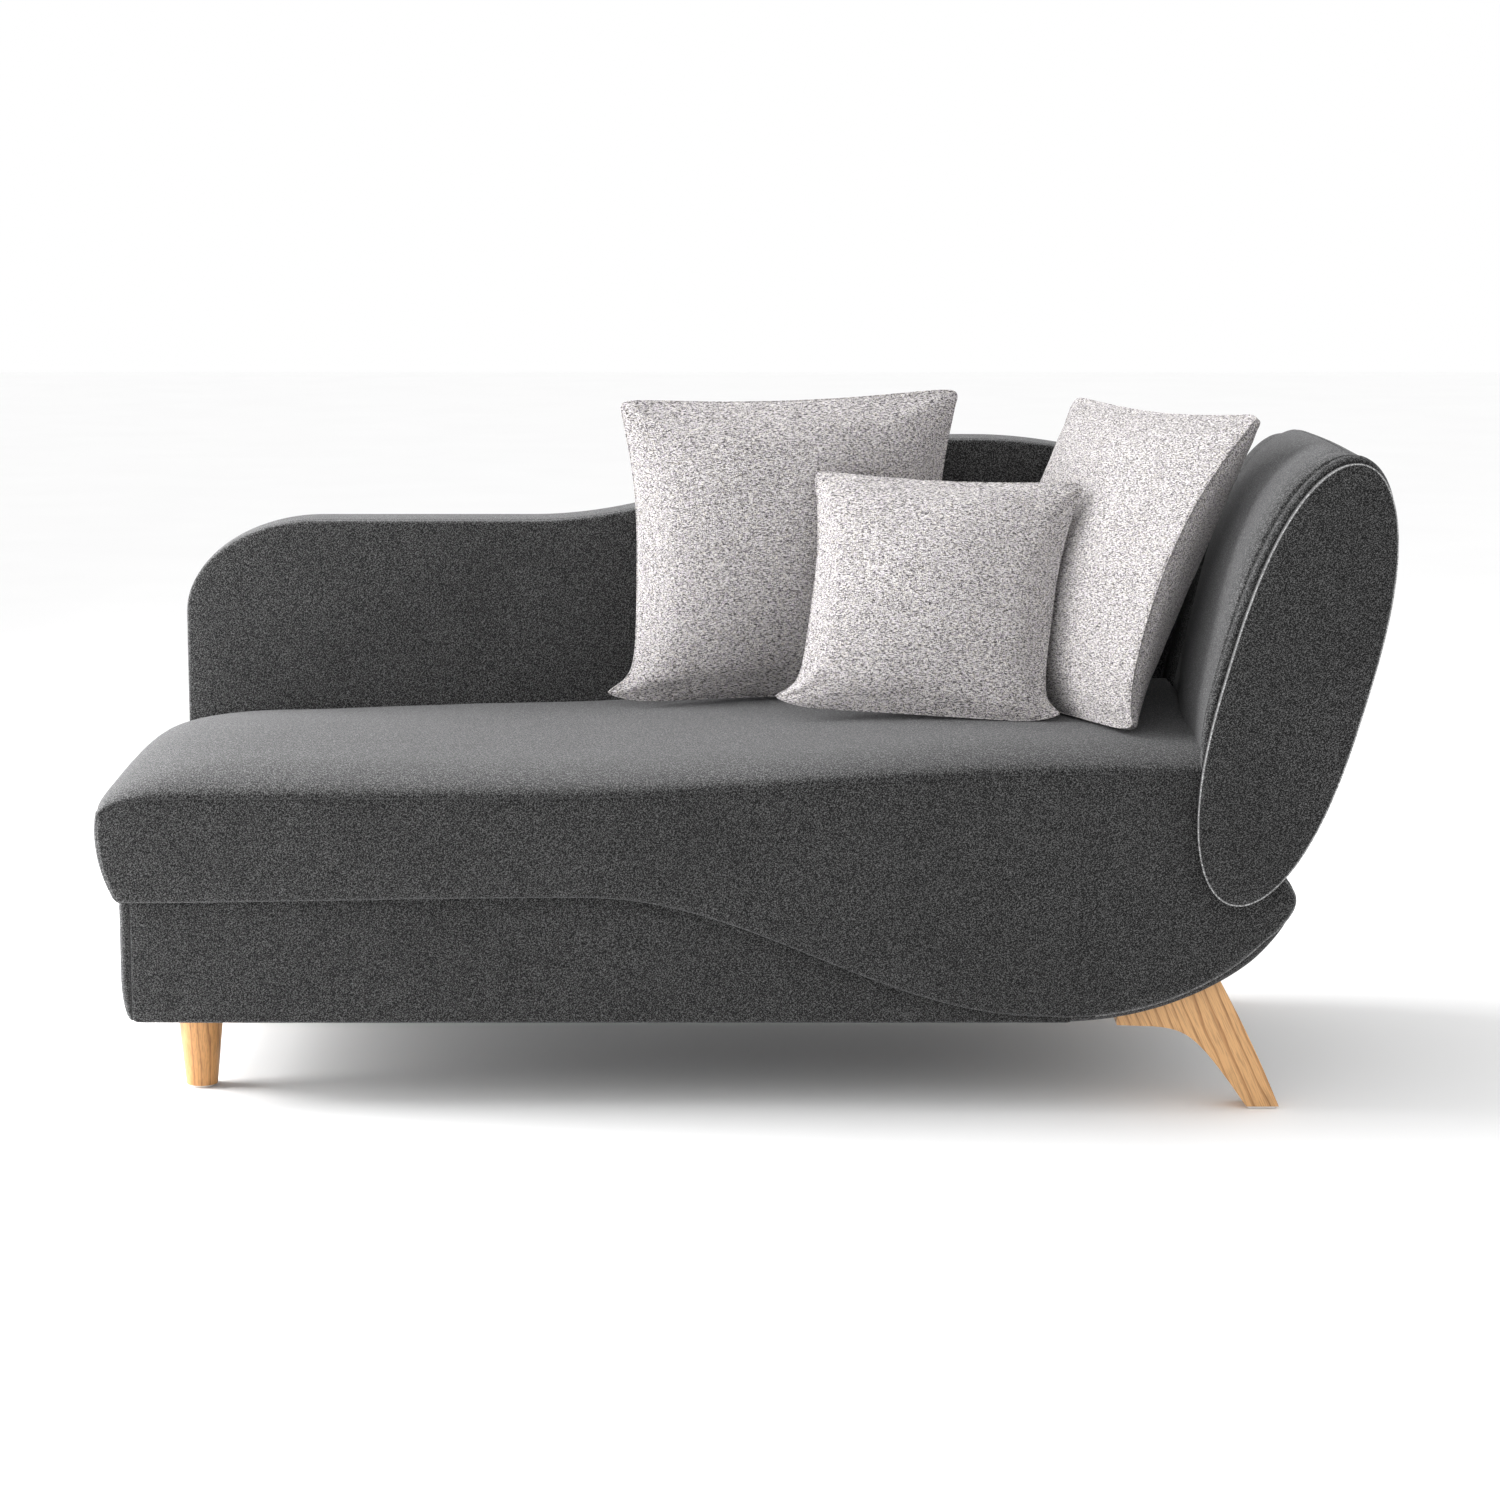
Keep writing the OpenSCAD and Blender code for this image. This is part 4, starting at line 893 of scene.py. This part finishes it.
STRIP = 0.011               # width of the rolled strip behind the cheek
SEAM_GAP = 0.0075           # from the strip's seam to the pad's
SHOULDER = 0.055            # depth over which the pad rises to its full body
HEAD_DEPTH = BACK_FACE - 0.006 - WAVE_FRONT     # depth of the pad in front of the back
HEAD_POINTS = 90            # points round each pad
BESIDE = -0.014             # where the pad stands from the oval beside the back
CREASE = 0.006              # how much deeper it goes in where it meets the back's face
INNER_CORE = -0.0245        # the pads' hidden side, from the oval
STRIP_GROOVE, PAD_GROOVE, GROOVE_W = 0.0036, 0.0030, 0.0017     # depths of the two seams, their width
WRINKLE_W = 0.03            # the wrinkles start this far behind the front and fade in over as much
WRINKLE_LAST = 0.26         # they have faded out here
TURN_IN, TURN_W = 0.016, 0.035      # how far the pad turns in before the back, and over which depth
CREASE_W, REAR_W, REAR_ROUND = 0.034, 0.046, 0.014  # roundings out of the crease and at the rear


def head_depths():
    """y of the pads' grid: close together at the strip, the seams and the back's face."""
    w = np.concatenate([[0.0002, 0.0006, 0.0013, 0.0024, 0.004, 0.006, 0.008, 0.0095],
                        np.linspace(0.0105, 0.0215, 12),
                        0.0225 + 0.0585 * np.linspace(0, 1, 20) ** 1.6,
                        np.linspace(0.088, HEAD_DEPTH - 0.03, 50),
                        HEAD_DEPTH - 0.03 + 0.03 * np.linspace(0.1, 1, 9)])
    crease = np.array([-0.004, -0.001, 0.002, 0.0045, 0.007, 0.011, 0.017, 0.026, 0.040])
    return np.concatenate([WAVE_FRONT + w, BACK_FACE + crease,
                           np.linspace(BACK_FACE + 0.050, SIDE_REAR - 0.0005, 20)])


def groove(w, at, deep):
    """Groove of a seam that lies at behind the strip."""
    return deep * math.exp(-((w - STRIP - at) / GROOVE_W) ** 2)


def pad_in_front(s, w, edge_d, body_d, wrinkles):
    """How far a pad stands out at w behind its front, before the back's face."""
    start = STRIP + SEAM_GAP + 0.002
    d = edge_d(s) * quarter(w / STRIP)
    if w > start:
        d = d + (body_d(s, w) - edge_d(s)) * quarter((w - start) / SHOULDER)
    d = d - groove(w, 0.001, STRIP_GROOVE) - groove(w, SEAM_GAP, PAD_GROOVE)
    if wrinkles and w > WRINKLE_W:
        # along the upper end only
        d = d + wrinkles * np.clip((s - 0.70) / 0.2, 0, 1) * math.sin(w * 230 + 1.2 * math.sin(w * 70)) \
            * min(1, (w - WRINKLE_W) / WRINKLE_W) * max(0, 1 - w / WRINKLE_LAST)
    return d - TURN_IN * max(0, (w - HEAD_DEPTH + TURN_W) / TURN_W) ** 2


def pad_beside_back(w, to_rear):
    """The same at w behind the back's face: out of the crease, then rounded to the rear."""
    if w < 0.004:
        return BESIDE - CREASE
    return BESIDE - CREASE * (1 - quarter(w / CREASE_W)) - REAR_ROUND * (1 - quarter(to_rear / REAR_W))


def head_surface(from_t, to_t, edge_d, body_d, wrinkles=0.0):
    """Outer and inner side of a pad round the oval, over the angles from_t to_t.

    edge_d and body_d give how far the rolled strip and the pad stand out beyond the oval."""
    s = np.linspace(0, 1, HEAD_POINTS)
    t = from_t + (to_t - from_t) * s
    core = np.stack(oval_point(t, INNER_CORE), 1)
    out, inn = [], []
    for y in head_depths():
        if y <= BACK_FACE - 0.0055:
            d = pad_in_front(s, y - WAVE_FRONT, edge_d, body_d, wrinkles)
        else:
            d = pad_beside_back(y - BACK_FACE, SIDE_REAR - y)
        out.append(at_depth(np.stack(oval_point(t, d), 1), y))
        inn.append(at_depth(core, y))
    return np.stack(out, 1), np.stack(inn, 1)


def rear_fall(w):
    """How far the pad has fallen away at w behind its front, 0 to 1."""
    return max(0, (w - 0.25) / 0.35) ** 1.6


def inner_edge(s):
    return 0.0090 * np.minimum(1, s / 0.12) ** 0.7


def inner_body(s, w):
    """The inner pad is fullest near its front and falls away towards the back."""
    return -0.006 + 0.010 * s ** 3 + 0.026 * np.sin(np.pi * s) ** 0.8 \
        - 0.034 * rear_fall(w) * (1 - 0.82 * s ** 5)


def outer_edge(s):
    return 0.0090 - 0.0040 * np.minimum(1, s / 0.25) - 0.0045 * np.clip((s - 0.4) / 0.6, 0, 1)


def outer_body(s, w):
    """The outer pad is fullest in its middle and thins out downwards."""
    return 0.0055 + 0.0025 * np.sin(np.pi * np.minimum(s, 0.5) / 0.5 / 2) \
        - 0.007 * np.clip((s - 0.35) / 0.65, 0, 1) ** 1.5 \
        - 0.0078 * rear_fall(w) * (1 - np.clip(s / 0.25, 0, 1))


head_inner = between("head_inner", *head_surface(248, 357, inner_edge, inner_body, wrinkles=0.0014))
dress(head_inner, "upholstery", "head_inner_pad", fill=0.85)
head_outer = between("head_outer", *head_surface(-2.5, 150, outer_edge, outer_body))
dress(head_outer, "upholstery", "head_outer_pad", fill=0.85)

# a thin welt round the cheek in the lighter weave: a painted highlight along the rim
welt = tube("cheek_highlight_welt", at_depth(oval(0.0), FRONT + 0.0016), radius=0.0009, closed=True)
cheek = panel("cheek_front", oval(-0.0006), FRONT, WAVE_FRONT - 0.0005, roll=0.0028, bulge=0.0012,
              spread=0.03, passes=1)
dress(welt, "upholstery", look=highlight_piping)
dress(cheek, "upholstery", "cheek_panel_front", "cheek_board_front", fill=0.85)

# Loose cushions

CELLS = 60                  # cells along each side of a cushion
PUFF_STEPS = 16             # simulation steps
PUFF_CAP = 0.006            # the filling moves no point further than this
FACE_RISE = 0.72            # how a face rises from its seam; a lower power rises sooner
SEAM_HALF = 0.0008          # half the thickness beside the seam
FOLD_PITCH, FOLD_HIGH = 38, 0.0022      # folds from the seam: per metre, and their height
SLOW_PITCH, SLOW_HIGH = 9, 0.0035       # unevenness of the filling, the same
CORNER_REACH, CORNER_HIGH = 0.5, 0.0030     # folds from the corners: their reach and height
EAR_RADIUS, HEM_RADIUS = 0.030, 0.0013


def pillow_mesh(name, w, h, t, back_rise, drawn):
    """Two faces that share a seam, and each point's place across them, u and v from -1 to 1.

    drawn says how far the sides, the top and the bottom are drawn in at their middle."""
    n, m = CELLS, CELLS + 1
    sides_in, top_in, bottom_in = drawn
    g = -np.cos(np.linspace(0, np.pi, m))
    u, v = np.meshgrid(g, g, indexing="ij")
    corner = 1 - 0.045 * np.abs(u * v) ** 12
    x = w / 2 * u * (1 - 2 * sides_in / w * (1 - np.abs(v) ** np.where(v > 0, 2, 6))) * corner
    z = h / 2 * v * (1 - 2 * np.where(v > 0, top_in, bottom_in) / h * (1 - u * u)) * corner
    lens = ((1 - u * u) * (1 - v * v)).clip(0)
    half_front, half_back = (SEAM_HALF + (t / 2 - 0.004) * lens ** p for p in (FACE_RISE, back_rise))
    cells = [(i, j) for i in range(m) for j in range(m)]
    verts = [(x[c], -half_front[c], z[c]) for c in cells]
    place = [(u[c], v[c]) for c in cells]
    behind = {}
    for i, j in cells:
        if i in (0, n) or j in (0, n):
            behind[i, j] = i * m + j
            verts[i * m + j] = (x[i, j], 0.0, z[i, j])
        else:
            behind[i, j] = len(verts)
            verts.append((x[i, j], half_back[i, j], z[i, j]))
            place.append((u[i, j], v[i, j]))
    faces = []
    for i in range(n):
        for j in range(n):
            a = i * m + j
            faces.append((a, a + m, a + m + 1, a + 1))
            faces.append((behind[i, j], behind[i, j + 1], behind[i + 1, j + 1], behind[i + 1, j]))
    u, v = np.array(place).T
    return mesh_object(name, verts, faces), np.array(verts), u, v


def puffed(o, rest):
    """The points of a cushion once its filling has pushed them out, by cloth simulation."""
    mod = o.modifiers.new("puff", "CLOTH")
    st = mod.settings
    st.quality = 5
    st.mass = 0.25
    st.use_pressure = True
    st.uniform_pressure_force = 4.0
    st.tension_stiffness = 20
    st.compression_stiffness = 20
    st.shear_stiffness = 8
    st.bending_stiffness = 0.3
    st.effector_weights.gravity = 0
    mod.point_cache.frame_start = 1
    mod.point_cache.frame_end = 24
    for f in range(1, PUFF_STEPS + 1):
        scene.frame_set(f)
    co = np.zeros(len(rest) * 3)
    evaluated = o.evaluated_get(bpy.context.evaluated_depsgraph_get())
    evaluated.data.vertices.foreach_get("co", co)
    o.modifiers.remove(mod)
    scene.frame_set(1)
    move = co.reshape(-1, 3) - rest
    length = np.linalg.norm(move, axis=1)
    return rest + move * np.minimum(1, PUFF_CAP / np.maximum(length, 1e-9))[:, None]


def crease(co, U, V, seed):
    """Soft folds that run in from the seam and the corners, and a slow unevenness of the filling."""
    edge = np.minimum(1 - np.abs(U), 1 - np.abs(V)).clip(0)
    side = np.sign(co[:, 1])
    for i in np.flatnonzero(edge > 0.002):
        to_u, to_v = 1 - abs(U[i]), 1 - abs(V[i])
        along = co[i, 2] if to_u < to_v else co[i, 0]
        pull = noise.noise(Vector((along * FOLD_PITCH, seed, 0.3 * side[i]))) * FOLD_HIGH
        slow = noise.noise(Vector((co[i, 0] * SLOW_PITCH, co[i, 2] * SLOW_PITCH, seed + side[i]))) * SLOW_HIGH
        co[i, 1] += side[i] * (pull * math.exp(-((edge[i] - 0.04) / 0.05) ** 2)
                               + slow * min(1, edge[i] / 0.25))
        r = math.hypot(to_u, to_v)
        if 0.02 < r < CORNER_REACH:
            r = r / CORNER_REACH
            turn = math.atan2(to_u, to_v)
            co[i, 1] -= side[i] * CORNER_HIGH * r * (1 - r) * 4 * math.cos(turn * 8 + seed) * 0.35


def cushion(name, w, h, t, place, cad, body, seed, drawn, back_rise=FACE_RISE, seam_shift=0.0,
            shear=0.0, ears=()):
    """A filled cushion w wide, h high and t thick, with its hem, in place of the nodes cad.

    seam_shift bows its right seam forward, shear leans its sides, and each of the ears, given by
    its corner and its move in x and z, is a curled corner."""
    o, co, U, V = pillow_mesh(name, w, h, t, back_rise, drawn)
    co = puffed(o, co)
    # back to the sewn size
    for k, size in ((0, w), (2, h)):
        co[:, k] *= size / 2 / np.abs(co[:, k]).max()
    co[:, 1] *= (t / 2 - 0.001) / np.abs(co[:, 1]).max()
    crease(co, U, V, seed)
    co[:, 1] -= seam_shift * (1 - V * V) * np.clip((U - 0.55) / 0.45, 0, 1) ** 2
    co[:, 0] += shear * co[:, 2]
    for su, sv, dx, dz in ears:
        near = np.exp(-(((U - su) * w / 2) ** 2 + ((V - sv) * h / 2) ** 2) / EAR_RADIUS ** 2)
        co[:, 0] += dx * near
        co[:, 2] += dz * near
        co[:, 1] *= 1 - 0.5 * near
    o.data.vertices.foreach_set("co", co.reshape(-1))
    o.data.update()
    sub = o.modifiers.new("smooth", "SUBSURF")
    sub.levels = sub.render_levels = 1
    # the hem follows the seam, once round the border of the grid
    n, m = CELLS, CELLS + 1
    border = [*range(m), *(i * m + n for i in range(1, m)), *(n * m + j for j in range(n - 1, -1, -1)),
              *(i * m for i in range(n - 1, 0, -1))]
    path = soften(co[border], 2)
    hem = tube(name + "_hem", path + unit(path - path.mean(0)) * 0.0002, HEM_RADIUS, closed=True, sides=8)
    for piece in (o, hem):
        piece.matrix_world = place
    dress(o, "cushion_cover", *cad, body=body, fill=0.8)
    dress(hem, "cushion_cover", body=body)


def placed(at, lean, turned, roll):
    """Where a cushion's middle stands, and its lean, turn and roll in degrees."""
    return (Matrix.Translation(Vector(at)) @ Matrix.Rotation(math.radians(-turned), 4, "Z")
            @ Matrix.Rotation(math.radians(-lean), 4, "X") @ Matrix.Rotation(math.radians(roll), 4, "Y"))


cushion("large_pillow", 0.467, 0.420, 0.150, placed((0.0605, 0.182, 0.6781), lean=6, turned=0, roll=-2),
        ("large_cushion", "large_insert"), "large", seed=1.3, drawn=(0.030, 0.012, 0.003), shear=0.045,
        ears=((-1, -1, -0.013, 0.006), (1, -1, 0.008, 0.004)))
cushion("small_pillow", 0.372, 0.336, 0.102, placed((0.2545, -0.009, 0.63225), lean=24, turned=17, roll=1),
        ("small_cushion", "small_insert"), "small", seed=4.7, drawn=(0.023, 0.009, 0.001),
        ears=((-1, -1, -0.012, 0.006), (1, -1, 0.006, 0.006)))
cushion("turned_pillow", 0.455, 0.445, 0.122,
        placed((0.4835, 0.0125, 0.68095), lean=25.5, turned=63.5, roll=-0.5),
        ("turned_cushion", "turned_insert"), "turned", seed=7.9, drawn=(0.018, 0.014, 0.004),
        back_rise=0.28, seam_shift=0.036)

# Legs: the CAD's own pieces with softened edges
for node_name, width in (("curved_leg_front", 0.0025), ("curved_leg_rear", 0.0025),
                         ("cone_leg_front", 0.002), ("cone_leg_rear", 0.002)):
    o = frame["nodes"][node_name]
    weld = o.modifiers.new("weld", "WELD")
    weld.merge_threshold = 0.00005
    bev = o.modifiers.new("edges", "BEVEL")
    bev.width = width
    bev.segments = 3
    bev.limit_method = "ANGLE"
    bev.angle_limit = math.radians(40)

# Floor
bpy.ops.mesh.primitive_plane_add(size=30, location=(0, 0, -0.0005))
floor = bpy.context.object
floor.name = "floor"
fm = Mat("pale_floor", Roughness=0.85, Specular_IOR_Level=0.1)
fm.color(fm.ramp(fm.noise((3, 3, 3), 2, 0.5), [(0.3, 0.965), (0.7, 0.98)]))
floor.data.materials.append(fm.m)
